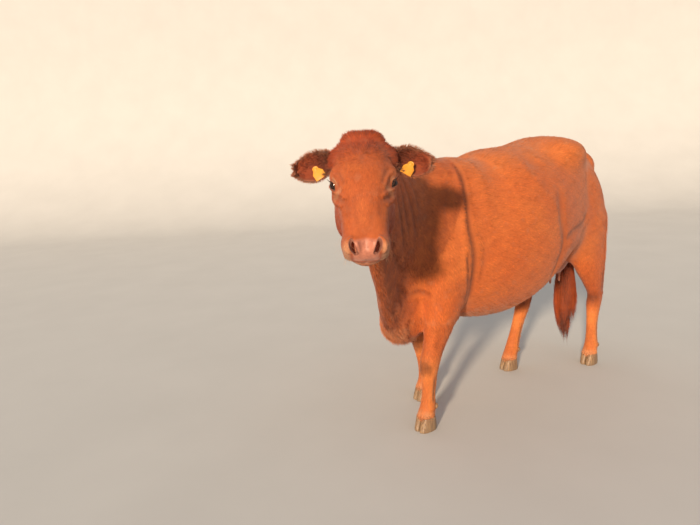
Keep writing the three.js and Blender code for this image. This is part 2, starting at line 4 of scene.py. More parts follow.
import bmesh
import bpy
import numpy as np
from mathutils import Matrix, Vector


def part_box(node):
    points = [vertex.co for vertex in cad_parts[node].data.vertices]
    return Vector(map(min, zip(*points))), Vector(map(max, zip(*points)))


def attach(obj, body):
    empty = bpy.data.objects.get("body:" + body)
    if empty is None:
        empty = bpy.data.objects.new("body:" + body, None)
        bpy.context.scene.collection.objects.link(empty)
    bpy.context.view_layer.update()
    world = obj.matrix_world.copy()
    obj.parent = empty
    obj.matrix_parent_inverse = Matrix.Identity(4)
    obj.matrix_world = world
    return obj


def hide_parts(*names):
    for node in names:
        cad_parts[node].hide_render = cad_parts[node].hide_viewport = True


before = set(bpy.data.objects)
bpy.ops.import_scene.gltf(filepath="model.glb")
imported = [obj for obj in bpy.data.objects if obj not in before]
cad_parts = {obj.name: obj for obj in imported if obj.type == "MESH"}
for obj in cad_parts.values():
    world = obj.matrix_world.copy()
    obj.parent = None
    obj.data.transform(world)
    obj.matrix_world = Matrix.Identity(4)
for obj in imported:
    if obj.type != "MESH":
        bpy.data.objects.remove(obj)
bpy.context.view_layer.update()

import openvdb
from mathutils import Matrix, Vector

rng = np.random.default_rng(7)
mm = 0.001


def unit(v):
    v = np.asarray(v, float)
    return v / np.maximum(np.linalg.norm(v, axis=-1, keepdims=True), 1e-9)


def smoothStep(x, low, high):
    t = np.clip((x - low) / (high - low), 0, 1)
    return t * t * (3 - 2 * t)


# The forms below are in millimetres and are below zero inside.
def blend(a, b, k):
    h = np.maximum(k - np.abs(a - b), 0) / k
    return np.minimum(a, b) - h * h * k / 4


def smoothRows(rows, steps):
    rows = np.asarray(rows, float)
    out = []
    for i in range(len(rows) - 1):
        before, after = rows[max(i - 1, 0)], rows[min(i + 2, len(rows) - 1)]
        m1, m2 = (rows[i + 1] - before) / 2, (after - rows[i]) / 2
        for j in range(steps):
            t = j / steps
            out.append(
                (2 * t**3 - 3 * t**2 + 1) * rows[i] + (t**3 - 2 * t**2 + t) * m1
                + (3 * t**2 - 2 * t**3) * rows[i + 1] + (t**3 - t**2) * m2
            )
    return np.array(out + [rows[-1]])


# For each point: the nearest span of the path, how far along it, and the distance.
def nearestSpan(p, path):
    path = path.astype(np.float32)
    count = len(path)
    closest = np.empty(len(p), np.int32)
    for start in range(0, len(p), 200000):
        part = p[start:start + 200000]
        closest[start:start + 200000] = np.argmin((path**2).sum(1) - 2 * part @ path.T, 1)
    spans = np.stack([np.maximum(closest - 1, 0), np.minimum(closest, count - 2)])
    edges = path[1:] - path[:-1]
    squares = np.maximum((edges**2).sum(1), 1e-6)
    shares, fars = [], []
    for span in spans:
        rel, edge = p - path[span], edges[span]
        t = np.clip(np.einsum("ij,ij->i", rel, edge) / squares[span], 0, 1)
        rel -= t[:, None] * edge
        shares.append(t)
        fars.append(np.einsum("ij,ij->i", rel, rel))
    second = fars[1] < fars[0]
    span = np.where(second, spans[1], spans[0])
    return span, np.where(second, shares[1], shares[0]), np.sqrt(np.where(second, fars[1], fars[0]))


# A tube of oval section along a smooth path; a station is x, y, z, across, over and under.
class Limb:
    def __init__(self, stations, left=None, power=2.0, cap=(40, 40), steps=5, k=0):
        rows = smoothRows(stations, steps)
        self.path, self.sizes = rows[:, :3], rows[:, 3:]
        along = unit(np.vstack([self.path[1:], self.path[-1:]]) - np.vstack([self.path[:1], self.path[:-1]]))
        side = np.cross([0, 0, 1], along) if left is None else np.tile(left, (len(rows), 1))
        self.along, self.over = along, unit(np.cross(along, side))
        self.across = unit(np.cross(self.over, along))
        self.rows = np.hstack([self.path, self.across, self.over, along, self.sizes]).astype(np.float32)
        self.power, self.cap, self.k = power, cap, k
        reach = self.sizes.max() + max(cap)
        self.low, self.high = self.path.min(0) - reach, self.path.max(0) + reach

    def value(self, p):
        span, at, _ = nearestSpan(p, self.path)
        rows = self.rows[span] + (self.rows[span + 1] - self.rows[span]) * at[:, None]
        q = p - rows[:, :3]
        across, over, along = (
            np.einsum("ij,ij->i", q, way) / np.sqrt(np.einsum("ij,ij->i", way, way))
            for way in (rows[:, 3:6], rows[:, 6:9], rows[:, 9:12])
        )
        half = np.where(over > 0, rows[:, 13], rows[:, 14])
        ring = np.abs(across / rows[:, 12]) ** self.power + np.abs(over / half) ** self.power
        end = along / np.where(along < 0, self.cap[0], self.cap[1])
        rho = np.sqrt(ring ** (2 / self.power) + end * end) + 1e-6
        return (np.sqrt(np.einsum("ij,ij->i", q, q)) * (1 - 1 / rho)).astype(np.float32)


# An egg-shaped mass with its own turn.
class Mass:
    def __init__(self, at, size, k, turn=(0, 0, 0)):
        self.at, self.size, self.k = np.array(at, float), np.array(size, float), k
        rx, ry, rz = (Matrix.Rotation(angle, 3, axis) for angle, axis in zip(turn, "XYZ"))
        self.turn = np.array(rx @ ry @ rz)
        self.low, self.high = self.at - max(size), self.at + max(size)

    def value(self, p):
        q = (p - self.at).astype(np.float32) @ self.turn.astype(np.float32)
        rho = np.sqrt(((q / self.size.astype(np.float32)) ** 2).sum(1)) + 1e-6
        return np.sqrt((q**2).sum(1)) * (1 - 1 / rho)


# Points sorted into blocks, so that a form is worked out only where it reaches.
class Blocks:
    def __init__(self, p, size=90):
        key = np.floor(p / size).astype(np.int64) + 500
        key = (key[:, 0] * 1000 + key[:, 1]) * 1000 + key[:, 2]
        self.order = np.argsort(key, kind="stable")
        self.p = np.ascontiguousarray(p[self.order], np.float32)
        _, first, self.count = np.unique(key[self.order], return_index=True, return_counts=True)
        self.low = np.minimum.reduceat(self.p, first)
        self.high = np.maximum.reduceat(self.p, first)

    def near(self, low, high):
        return np.flatnonzero(np.repeat(((self.high > low) & (self.low < high)).all(1), self.count))

    def unsorted(self, values):
        out = np.empty_like(values)
        out[self.order] = values
        return out


# Blends a form into the values of the points that it can reach.
def addForm(value, form, blocks, band=60):
    reach = form.k + band
    near = blocks.near(form.low - reach, form.high + reach)
    if len(near):
        value[near] = blend(value[near], form.value(blocks.p[near]), form.k)


cowLeft = [0, -1, 0]
withersHeight, hipHeight, bellyHeight, bellyHalfWidth, coronetHeight = 1395, 1528, 500, 385, 74
barrel = Limb(power=2.2, cap=(90, 150), steps=14, k=1, stations=[
    [742, 0, 1240, 136, 195, 230],
    [630, 0, 1210, 215, 290, 350],
    [440, 0, 1150, 285, hipHeight - 1150, 420],
    [230, 0, 1060, 350, 425, 440],
    [0, 0, 990, bellyHalfWidth, 465, 485],
    [-220, 0, 960, bellyHalfWidth - 20, 445, 960 - bellyHeight],
    [-430, 0, 990, 305, withersHeight - 990, 420],
    [-600, 0, 1040, 225, 325, 380],
])
neckForm = Limb(cap=(150, 60), steps=12, k=140, stations=[
    [-430, 0, 1110, 235, 275, 380],
    [-620, -25, 1120, 190, 265, 380],
    [-800, -90, 1160, 150, 240, 330],
    [-960, -190, 1230, 128, 200, 270],
    [-1090, -300, 1295, 116, 165, 205],
    [-1180, -390, 1330, 108, 150, 170],
])
dewlap = Limb(cap=(80, 60), steps=12, k=80, stations=[
    [-600, 0, 700, 120, 160, 150],
    [-740, -30, 720, 92, 160, 215],
    [-870, -110, 840, 62, 150, 205],
    [-990, -215, 960, 50, 110, 165],
    [-1140, -350, 1110, 46, 60, 90],
])
bodyMasses = [
    Mass([-722, 0, 560], [118, 95, 112], 105),  # brisket
    Mass([-545, -180, 960], [150, 98, 270], 90, (0, 0.2, 0)),  # shoulders
    Mass([-535, 180, 960], [150, 98, 270], 90, (0, 0.2, 0)),
    Mass([400, -170, 1390], [150, 105, 84], 90),  # hook bones
    Mass([400, 170, 1390], [150, 105, 84], 90),
    Mass([740, -76, 1318], [74, 56, 66], 70),  # pin bones
    Mass([740, 76, 1318], [74, 56, 66], 70),
]
thighMasses = [
    Mass([628, -148, 1005], [188, 110, 296], 80),
    Mass([585, 152, 1005], [183, 110, 296], 80),
    Mass([670, 0, 1020], [125, 90, 250], 70),
]
legStations = {
    "foreleg_left": [
        [-575, -200, 840, 80, 120, 130], [-590, -190, 700, 80, 108, 122], [-622, -173, 560, 64, 78, 90],
        [-652, -160, 440, 52, 58, 64], [-672, -152, 348, 51, 54, 54], [-674, -148, 270, 40, 42, 46],
        [-677, -145, 190, 36, 38, 42], [-682, -142, 122, 43, 42, 46], [-694, -141, coronetHeight, 47, 50, 46],
    ],
    "foreleg_right": [
        [-560, 200, 840, 80, 120, 130], [-545, 190, 700, 80, 108, 118], [-515, 173, 560, 64, 78, 86],
        [-488, 160, 440, 52, 58, 64], [-466, 152, 348, 51, 54, 54], [-456, 148, 270, 40, 42, 46],
        [-448, 145, 190, 36, 38, 42], [-447, 142, 122, 43, 42, 46], [-459, 141, coronetHeight, 47, 50, 46],
    ],
    "hindleg_left": [
        [645, -163, 940, 92, 180, 190], [690, -166, 760, 80, 150, 158], [752, -166, 600, 60, 98, 98],
        [785, -162, 490, 45, 62, 68], [776, -160, 405, 43, 54, 58], [768, -160, 310, 36, 44, 44],
        [766, -160, 210, 36, 42, 42], [764, -160, 130, 43, 44, 48], [748, -160, coronetHeight, 47, 52, 47],
    ],
    "hindleg_right": [
        [545, 170, 940, 95, 180, 200], [470, 165, 770, 82, 145, 160], [452, 154, 620, 60, 92, 104],
        [462, 144, 500, 46, 62, 70], [434, 137, 420, 44, 58, 62], [390, 131, 330, 37, 46, 48],
        [345, 126, 230, 36, 43, 44], [306, 121, 140, 43, 46, 48], [274, 117, coronetHeight, 47, 54, 48],
    ],
}
legs = {name: Limb(rows, left=cowLeft, cap=(120, 40), steps=6, k=55) for name, rows in legStations.items()}
tailForm = Limb(left=cowLeft, cap=(20, 20), steps=8, k=12, stations=[
    [725, 0, 1412, 44, 34, 40], [795, 2, 1400, 40, 32, 34], [838, 12, 1340, 31, 27, 28],
    [858, 34, 1210, 25, 22, 22], [862, 66, 1060, 21, 20, 20], [858, 96, 900, 20, 20, 20],
    [852, 108, 780, 24, 24, 24],
])
udderForm = Mass([512, 0, 728], [140, 114, 112], 34)
groin = Limb(left=cowLeft, cap=(110, 60), steps=6, k=110, stations=[  # the belly rises ahead of the udder
    [60, 0, 470, 460, 110, 110], [180, 0, 570, 450, 125, 125],
    [300, 0, 660, 430, 130, 130], [400, 0, 722, 400, 120, 120],
])
teatPlaces = [[468, -48], [468, 48], [566, -44], [566, 44]]
teatForms = [
    Limb([[x, y, 655, 15, 15, 15], [x, y, 628, 12, 12, 12], [x, y, 592, 11.5, 11.5, 11.5], [x, y, 580, 10, 10, 10]],
         left=cowLeft, cap=(6, 9), steps=2, k=12)
    for x, y in teatPlaces
]

# The head's own frame: x to her right, y down the face from the poll, z out of the forehead
pollPlace = np.array([-1250, -463, 1513.0])
faceAzimuth, faceTilt = math.radians(234.3), math.radians(36)
ahead = np.array([math.cos(faceAzimuth), math.sin(faceAzimuth), 0])
downFace = ahead * math.sin(faceTilt) - np.array([0, 0, math.cos(faceTilt)])
outFace = ahead * math.cos(faceTilt) + np.array([0, 0, math.sin(faceTilt)])
headTurn = np.stack([np.cross(downFace, outFace), downFace, outFace])  # rows are the head's axes
headPoint = lambda q: np.asarray(q) @ headTurn + pollPlace
headFrame = lambda p: (p - pollPlace) @ headTurn.T
skull = Limb(power=2.4, left=[1, 0, 0], cap=(45, 34), steps=8, k=55, stations=[
    [0, 30, -78, 78, 70, 66],
    [0, 110, -78, 107, 76, 100],
    [0, 200, -82, 109, 78, 128],
    [0, 290, -86, 97, 76, 122],
    [0, 370, -88, 86, 70, 86],
    [0, 425, -92, 90, 62, 56],
    [0, 459, -96, 84, 46, 46],
])


def bothSides(at, size, k):
    return [Mass(at, size, k), Mass([-at[0], at[1], at[2]], size, k)]


headMasses = [
    Mass([0, 20, -52], [77, 36, 50], 30),  # poll
    *bothSides([38, 10, -50], [34, 25, 36], 26),  # its two knuckles
    *bothSides([72, 66, -74], [52, 48, 45], 30),  # slope from poll to ear
    *bothSides([88, 92, -88], [40, 46, 42], 30),  # root of the ear
    *bothSides([90, 172, -44], [34, 40, 32], 30),  # brow
    *bothSides([92, 248, -62], [26, 30, 30], 30),  # lower rim of the orbit
    *bothSides([74, 270, -150], [40, 95, 62], 40),  # cheek
    *bothSides([48, 446, -58], [38, 36, 32], 24),  # nostril rim
    Mass([0, 442, -134], [60, 50, 28], 24),  # chin
]
eyePlace = np.array([100, 212, -41.0])
designShift = np.mean(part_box("eye_right"), axis=0) / mm - headPoint(eyePlace)  # from this drawing to the frame
toFrame = lambda p: (np.asarray(p) + designShift) * mm

# Eye level of a person a little over two metres from her head
cameraSettings = {
    "place": toFrame([-2380, -2080, 1380]),
    "heading": 33.0,  # degrees from +Y toward +X
    "pitch": -10.4,
    "roll": -3.0,
    "lens": 26.69,
}


def makeCamera(c):
    heading, pitch, roll = (math.radians(c[k]) for k in ("heading", "pitch", "roll"))
    ahead = Vector((math.sin(heading) * math.cos(pitch), math.cos(heading) * math.cos(pitch), math.sin(pitch)))
    right = Vector((math.cos(heading), -math.sin(heading), 0))
    above = right.cross(ahead)
    side = math.cos(roll) * right + math.sin(roll) * above
    top = -math.sin(roll) * right + math.cos(roll) * above
    camera = bpy.data.objects.new("camera", bpy.data.cameras.new("camera"))
    camera.data.lens = c["lens"]
    camera.data.sensor_width = 36
    camera.data.clip_end = 200
    camera.matrix_world = Matrix.Translation(c["place"]) @ Matrix((side, top, -ahead)).transposed().to_4x4()
    bpy.context.scene.collection.objects.link(camera)
    bpy.context.scene.camera = camera


makeCamera(cameraSettings)
print("camera placed")


# Finer forms of the skin: lids, nostrils, folds and joints
coatDepth = 3.5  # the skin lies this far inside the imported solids
eyeballRadius = 20.5
gazeWay = unit([0.80, 0.33, 0.50])
lidWay = unit(np.array([-0.45, 0.85, 0.15]) - np.dot([-0.45, 0.85, 0.15], gazeWay) * gazeWay)  # outer to inner corner
browWay = np.cross(gazeWay, lidWay)
mirrorX = np.array([-1, 1, 1])
lids = {"above": 13, "below": 9.5, "half": 24}  # the opening between them


# Half the opening's height at u along the lids, above or below their line as v is.
def gapeOf(u, v):
    return np.where(v > 0, lids["above"], lids["below"]) * np.maximum(1 - (u / lids["half"]) ** 2, -1)


# A thin cupped leaf; the ear's own frame is x to the tip, y up, z out of the open side.
class Ear:
    def __init__(self, hand):
        self.hand, self.k = hand, 16
        outward = unit([0.98, 0.09, -0.17])
        upward = np.array([0.09, -0.93, 0.12])
        upward = unit(upward - upward @ outward * outward)
        self.turn = np.stack([outward, upward, np.cross(upward, outward)])
        self.root = np.array([104, 74, -96.0])
        tip = headPoint((self.root + outward * 70) * [hand, 1, 1])
        self.low, self.high = tip - 130, tip + 130

    def local(self, p):
        return (headFrame(p) * [self.hand, 1, 1] - self.root) @ self.turn.T

    def world(self, q):
        return headPoint((np.asarray(q) @ self.turn + self.root) * [self.hand, 1, 1])

    def outline(self, x):
        t = np.clip((x + 30) / 188, 0, 1)
        opening = 0.36 + 0.64 * smoothStep(t, 0, 0.56)
        return t, 61 * opening * np.sqrt(np.maximum(1 - np.maximum((t - 0.56) / 0.43, 0) ** 2, 0))

    def middle(self, x, y):
        t, half = self.outline(x)
        w = np.clip(y / np.maximum(half, 4), -1.15, 1.15)
        return 40 * (1 - 0.7 * t) * (w * w - 0.5), w, half

    def value(self, p, thick=4.2):
        x, y, z = self.local(p).T
        middle, w, half = self.middle(x, y)
        t = np.clip((x + 30) / 188, 0, 1)
        slope = np.sqrt(1 + (80 * (1 - 0.7 * t) * w / np.maximum(half, 12)) ** 2)
        sheet = np.abs(z - middle) / slope - thick
        rimSlope = np.sqrt(1 + (np.maximum(t - 0.56, 0) * 1.9 * 61 / np.maximum(half, 14)) ** 2)
        rim = np.maximum((np.abs(y) - half) / rimSlope, x - 156) - (thick - 4.2)
        return np.where(x < -28, 60, -blend(-sheet, -rim, 4)).astype(np.float32)


ears = {"ear_right": Ear(1), "ear_left": Ear(-1)}
headBox = headPoint([[x, y, z] for x in (-200, 200) for y in (-90, 600) for z in (-320, 90)])
eyeBox = headPoint([[x, y, z] for x in (-150, 150) for y in (140, 520) for z in (-110, 60)])


# The animal without folds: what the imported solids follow, with the tail, udder and ears joined on.
def baseOf(blocks, plump=False):
    p = blocks.p
    value = np.full(len(p), 400, np.float32)
    for form in (barrel, neckForm, dewlap, *bodyMasses):
        addForm(value, form, blocks)
    near = blocks.near(groin.low - 110, groin.high + 110)
    if len(near):
        value[near] = -blend(-value[near], groin.value(p[near]), groin.k)
    for form in (*thighMasses, *legs.values()):
        addForm(value, form, blocks)
    near = blocks.near(headBox.min(0), headBox.max(0))
    if len(near):
        q = headFrame(p[near]).astype(np.float32)
        so = skull.value(q)
        for mass in headMasses:
            so = blend(so, mass.value(q), mass.k)
        value[near] = blend(value[near], so, 55)
    for form in (udderForm, *teatForms, tailForm):
        addForm(value, form, blocks, 30)
    for ear in ears.values():
        near = blocks.near(ear.low, ear.high)
        if len(near):
            leaf = ear.value(p[near], 9) - coatDepth if plump else ear.value(p[near]) - coatDepth
            value[near] = blend(value[near], leaf, ear.k)
    return value


def baseValue(p):
    blocks = Blocks(p)
    return blocks.unsorted(baseOf(blocks))


def gradient(field, p):
    here, step = field(p), 1.5
    slopes = np.stack([field(p + step * axis) for axis in np.eye(3, dtype=np.float32)], 1) - here[:, None]
    return here, slopes / step


# Moves points along the field's slope until they lie on its surface.
def settle(field, p, rounds=2, most=12.0):
    for _ in range(rounds):
        here, slope = gradient(field, p)
        move = here[:, None] * slope / np.maximum((slope**2).sum(1, keepdims=True), 0.15)
        length = np.linalg.norm(move, axis=1, keepdims=True)
        p = p - move * np.minimum(1, most / np.maximum(length, 1e-6))
    return p.astype(np.float32)


# A groove (depth above zero) or a ridge (below zero) along a path drawn on the surface.
class Crease:
    def __init__(self, path, depth, width, ends=True):
        path = settle(baseValue, smoothRows(path, 4).astype(np.float32), 4, 60)
        self.path, self.depth, self.width, self.ends = path, depth, width, ends
        self.low, self.high = path.min(0) - 2.6 * width, path.max(0) + 2.6 * width
        length = np.linalg.norm(np.diff(path, axis=0), axis=1).sum()
        self.fading = min(max(0.18, 1.5 * width / length), 0.5)

    def value(self, p):
        span, at, far = nearestSpan(p, self.path)
        along = (span + at) / (len(self.path) - 1)
        fade = smoothStep(np.minimum(along, 1 - along), 0, self.fading) if self.ends else 1
        return self.depth * np.exp(-((far / self.width) ** 2)) * fade


def onHead(*rows):
    return [headPoint(np.array(rows, float)), headPoint(np.array(rows, float) * mirrorX)]


def onFlanks(*rows):
    rows = np.array(rows, float)
    return [rows, rows * [1, -1, 1]]


# Points given as (along the lid, toward the brow) on a sphere round the eye, for both sides.
def aroundEye(rows):
    rows = np.array(rows, float)
    out = np.sqrt(np.maximum(26**2 - (rows**2).sum(1), 9))
    q = eyePlace + rows[:, :1] * lidWay + rows[:, 1:2] * browWay + out[:, None] * gazeWay
    return onHead(*q)


creasePlans = [
    # head: lid folds, tear fold, brow, temple, nose, mouth
    (aroundEye([[-24, 9], [-14, 17], [0, 20.5], [14, 17], [25, 8]]), 4.2, 3.4),
    (aroundEye([[-21, -10], [-12, -16], [1, -19.5], [15, -16], [27, -7]]), 3.4, 3.2),
    (onHead([108, 180, -26], [96, 196, -6], [86, 222, 4], [76, 250, 11], [66, 274, 14]), -3.6, 8),
    (onHead([98, 172, -8], [84, 196, 8], [72, 226, 15], [62, 254, 17]), 4.4, 6.5),
    (onHead([116, 226, -52], [108, 246, -34], [92, 268, -13], [74, 288, 5], [60, 308, 11]), -5.2, 6.5),
    (onHead([116, 250, -58], [104, 272, -36], [86, 292, -14], [70, 312, 0]), 7, 7),
    (onHead([112, 238, -52], [103, 256, -30], [88, 277, -7], [74, 296, 6]), 3.2, 3.6),
    (onHead([112, 282, -60], [98, 300, -36], [84, 320, -18]), -3.4, 7),
    (onHead([104, 150, -66], [99, 142, -44], [86, 134, -22]), 6, 22),
    (onHead([60, 292, 4], [58, 330, -8], [60, 372, -22]), 4, 17),
    (onHead([98, 272, -84], [90, 312, -84], [82, 352, -82]), -3, 13),
    (onHead([40, 60, 8], [26, 96, 14], [14, 128, 20]), 3.2, 8),
    (onHead([8, 118, 22], [0, 142, 24], [-7, 158, 22]), 2.4, 5),
    (onHead([30, 300, 2], [26, 350, -6], [22, 400, -16]), 2.0, 9),
    (onHead([0, 493, -120], [34, 488, -119], [62, 470, -121], [80, 440, -127], [88, 404, -134]), 6.5, 4.6),
    (onHead([0, 497, -110], [30, 490, -108], [58, 474, -108], [78, 446, -112]), -2.2, 6),
    (onHead([38, 430, -22], [54, 434, -26], [66, 450, -34], [66, 469, -50], [56, 482, -66]), -4.6, 7.5),
    (onHead([26, 446, -26], [24, 462, -34], [18, 478, -52]), -2.4, 6),
    (onHead([84, 428, -54], [86, 452, -72], [80, 470, -92]), 2.4, 7),
    (onHead([92, 390, -60], [96, 410, -92], [94, 424, -120]), 3.5, 9),
    (onHead([0, 448, -34], [0, 470, -56], [0, 490, -92], [0, 495, -112]), 1.3, 3),
    # body: the fold behind the shoulder and the one beside it, the edge of the shoulder blade
    (onFlanks([-440, -110, 1374], [-450, -152, 1346], [-472, -204, 1288], [-496, -247, 1221], [-507, -270, 1154],
              [-514, -289, 1078], [-505, -299, 1018], [-489, -303, 947], [-482, -299, 875], [-479, -283, 791],
              [-468, -253, 701], [-454, -205, 619]), 20, 14),
    (onFlanks([-466, -140, 1350], [-484, -196, 1286], [-530, -262, 1160], [-546, -290, 1060], [-540, -300, 950],
              [-536, -290, 850], [-520, -262, 760]), -9, 26),
    (onFlanks([-540, -292, 960], [-530, -293, 841], [-505, -276, 762], [-500, -238, 662]), 8, 9),
    (onFlanks([-430, -296, 1000], [-426, -292, 880], [-430, -268, 760]), 3, 12),
    # the hollow of the flank under the loin, its lower edge, and the line from there to the stifle fold
    (onFlanks([-70, -250, 1370], [10, -252, 1362], [90, -238, 1372]), 12, 60),
    (onFlanks([-150, -240, 1346], [-114, -269, 1322], [-45, -282, 1312], [53, -268, 1330], [127, -236, 1362]),
     -2.5, 40),
    (onFlanks([-118, -273, 1319], [-66, -308, 1275], [-14, -344, 1209], [40, -362, 1140], [96, -370, 1060]), -3, 30),
    (onFlanks([150, -330, 1230], [112, -362, 1127], [117, -371, 1018], [144, -367, 938], [148, -360, 881],
              [130, -355, 819], [99, -310, 700]), 12, 28),
    (onFlanks([138, -368, 985], [148, -364, 915], [140, -358, 860], [112, -330, 780], [90, -300, 700]), 15, 13),
    (onFlanks([170, -358, 930], [289, -337, 962], [432, -294, 985], [520, -270, 1040]), 15, 18),
    (onFlanks([190, -350, 905], [300, -320, 900], [400, -290, 880]), -8, 30),
    (onFlanks([560, -262, 1290], [520, -276, 1180], [540, -272, 1060]), 4, 34),
    # chest and neck
    (onFlanks([-700, -214, 730], [-722, -190, 734], [-778, -150, 742], [-840, -150, 772], [-900, -190, 800]), 11, 15),
    ([[[-700, -60, 470], [-740, -100, 500], [-770, -120, 560], [-760, -130, 620]]], 9, 14),
    ([[[-1048, -415, 1279], [-1010, -380, 1215], [-970, -340, 1150], [-930, -300, 1075], [-900, -262, 990]]], 10, 11),
    ([[[-1010, -390, 1320], [-960, -345, 1240], [-915, -300, 1150], [-870, -262, 1050]]], 9, 12),
    ([[[-960, -330, 1350], [-905, -290, 1260], [-850, -250, 1150], [-810, -225, 1050]]], 8, 14),
    ([[[-890, -270, 1370], [-830, -235, 1270], [-780, -220, 1150]]], 7, 15),
    ([[[-1100, -290, 917], [-1060, -240, 850], [-1001, -179, 765], [-937, -141, 646], [-860, -100, 560]]], 9, 14),
    ([[[-1010, -215, 960], [-960, -180, 880], [-900, -150, 780], [-850, -120, 690]]], 10, 16),
    ([[[-1060, -300, 1090], [-1000, -262, 1010], [-930, -226, 930], [-860, -215, 860]]], 8, 15),
    ([[[-930, -190, 700], [-880, -160, 640], [-820, -120, 560]]], 8, 14),
    # back: a shallow groove along the spine, and the hollows beside the tail head
    ([[[-380, 0, 1400], [-100, 0, 1440], [200, 0, 1490], [480, 0, 1520]]], 3, 26),
    (onFlanks([600, -62, 1470], [680, -66, 1420], [730, -62, 1370]), 9, 26),
    ([[[800, 0, 1190], [790, 0, 1110], [775, 0, 1020], [740, 0, 900]]], 10, 22),
    # udder: between the quarters
    ([[[420, 0, 668], [470, 0, 632], [520, 0, 622], [570, 0, 632], [620, 0, 668]]], 5, 14),
]


# The knee or hock, tendons and fetlock of one leg.
def legCreases(name, leg):
    at = lambda z: np.array([np.interp(-z, -leg.path[:, 2], leg.path[:, i]) for i in (0, 1)])
    point = lambda z, dx, dy: [at(z)[0] + dx, at(z)[1] + dy, z]
    out = 1 if name.endswith("right") else -1
    plans = []
    for side in (1, -1):
        tendon = [point(z, 16, side * 40) for z in (300, 240, 180, 150)]
        plans.append(([tendon], 11, 9))
        plans.append(([[point(112, -10, side * 46), point(104, 20, side * 44), point(100, 38, side * 30)]], 3, 7))
    if name.startswith("fore"):
        for z, depth in ((378, 5.0), (363, 6.5), (347, 5.6), (331, 4.0)):
            wrinkle = [point(z + 3, -34, -38), point(z, -56, -14), point(z, -56, 14), point(z + 3, -34, 38)]
            plans.append(([wrinkle], depth, 4.5))
        plans.append(([[point(300, -40, -16), point(300, -40, 16)]], 6, 15))
        plans.append(([[point(372, 50, -14), point(364, 54, 0), point(372, 50, 14)]], -9, 16))
        plans.append(([[point(560, -50, out * 60), point(500, -30, out * 62), point(430, -14, out * 56)]], 4, 16))
        plans.append(([[point(620, 96, out * 40), point(590, 104, out * 20), point(570, 100, 0)]], -13, 30))
    else:
        for side in (1, -1):
            hollow = [point(z, dx, side * 38) for z, dx in ((660, 50), (600, 40), (540, 34), (490, 30))]
            plans.append(([hollow], 18, 18))
        plans.append(([[point(500, 62, -8), point(484, 68, 0), point(470, 66, 8)]], -10, 16))
        plans.append(([[point(462, -52, -20), point(456, -58, 0), point(462, -52, 20)]], 3, 14))
    return plans


for legName, leg in legs.items():
    creasePlans += legCreases(legName, leg)
creases = [Crease(path, depth, width) for paths, depth, width in creasePlans for path in paths]
nostrilPath = [[46, 442, -22, 5, 6, 6], [48, 456, -32, 8, 9, 9], [42, 470, -44, 9, 9, 9], [32, 481, -60, 6, 6, 6]]
nostrils = [
    Limb([[side * row[0], *row[1:]] for row in nostrilPath], left=[1, 0, 0], cap=(4, 4), steps=3, k=3)
    for side in (1, -1)
]
nostrilDepths = [Mass([side * 41, 458, -60], [10, 15, 26], 6, (0.5, 0, side * 0.3)) for side in (1, -1)]


def skinValue(p, plump=False):
    blocks = Blocks(p)
    p = blocks.p
    value = baseOf(blocks, plump) + coatDepth
    for crease in creases:
        near = blocks.near(crease.low, crease.high)
        if len(near):
            value[near] += crease.value(p[near])
    near = blocks.near(eyeBox.min(0), eyeBox.max(0))
    if len(near):
        so, q = value[near], headFrame(p[near]).astype(np.float32)
        for side in (1, -1):
            local = (q * [side, 1, 1]) - eyePlace
            far = np.linalg.norm(local, axis=1)
            u, v, w = local @ lidWay, local @ browWay, local @ gazeWay
            so = blend(so, far - eyeballRadius - 3.4, 9)
            hole = np.maximum(np.abs(v) - gapeOf(u, v), 4 - w)
            so = -blend(-so, np.maximum(hole, far - 45), 2.2)
        for cut in (*nostrils, *nostrilDepths):
            so = -blend(-so, cut.value(q), cut.k)
        value[near] = so
    return blocks.unsorted(value)


print(f"{len(creases)} folds drawn")

# The skin's mesh
skinGrid = {"low": (-1484, -742, -14), "cell": 7.0, "levels": 2, "blocks": (88, 42, 56)}


# Values on a fine grid, worked out only near the surface and filled with plus or minus elsewhere.
def sampleSkin(g):
    cells = np.stack(np.meshgrid(*(np.arange(n) for n in g["blocks"]), indexing="ij"), -1).reshape(-1, 3)
    low = np.array(g["low"], np.float32)
    outside = g["cell"] * 3
    grid = np.full([n << g["levels"] for n in g["blocks"]], outside, np.float32)
    for level in range(g["levels"], -1, -1):
        size = g["cell"] * 2**level
        value = skinValue((low + (cells + 0.5) * size).astype(np.float32), plump=True)
        if level == 0:
            grid[tuple(cells.T)] = np.clip(value, -outside, outside)
            break
        near = np.abs(value) < size * 1.3 + 2
        inside = np.zeros([n << (g["levels"] - level) for n in g["blocks"]], bool)
        inside[tuple(cells[~near & (value < 0)].T)] = True
        for axis in range(3):
            inside = np.repeat(inside, 2**level, axis)
        grid[inside] = -outside
        children = np.stack(np.meshgrid((0, 1), (0, 1), (0, 1), indexing="ij"), -1).reshape(1, 8, 3)
        cells = (cells[near][:, None] * 2 + children).reshape(-1, 3)
        print("  cells at", size, "mm:", len(cells))
    return grid


# The faces of a closed form, turned to look outward.
def facesOut(points, faces):
    middle = points.mean(0)
    a, b, c = (points[faces[:, i]] - middle for i in range(3))
    return faces if np.einsum("ij,ij->i", a, np.cross(b, c)).sum() > 0 else faces[:, ::-1]


# Faces of a tube of rings, closed by a point at each end: the two points come after the rings.
def tubeFaces(rings, around):
    at = lambda i, j: i * around + j % around
    faces = [f for i in range(rings - 1) for j in range(around)
             for f in ((at(i, j), at(i, j + 1), at(i + 1, j + 1)), (at(i, j), at(i + 1, j + 1), at(i + 1, j)))]
    faces += [(rings * around, at(0, j + 1), at(0, j)) for j in range(around)]
    faces += [(rings * around + 1, at(rings - 1, j), at(rings - 1, j + 1)) for j in range(around)]
    return np.array(faces)


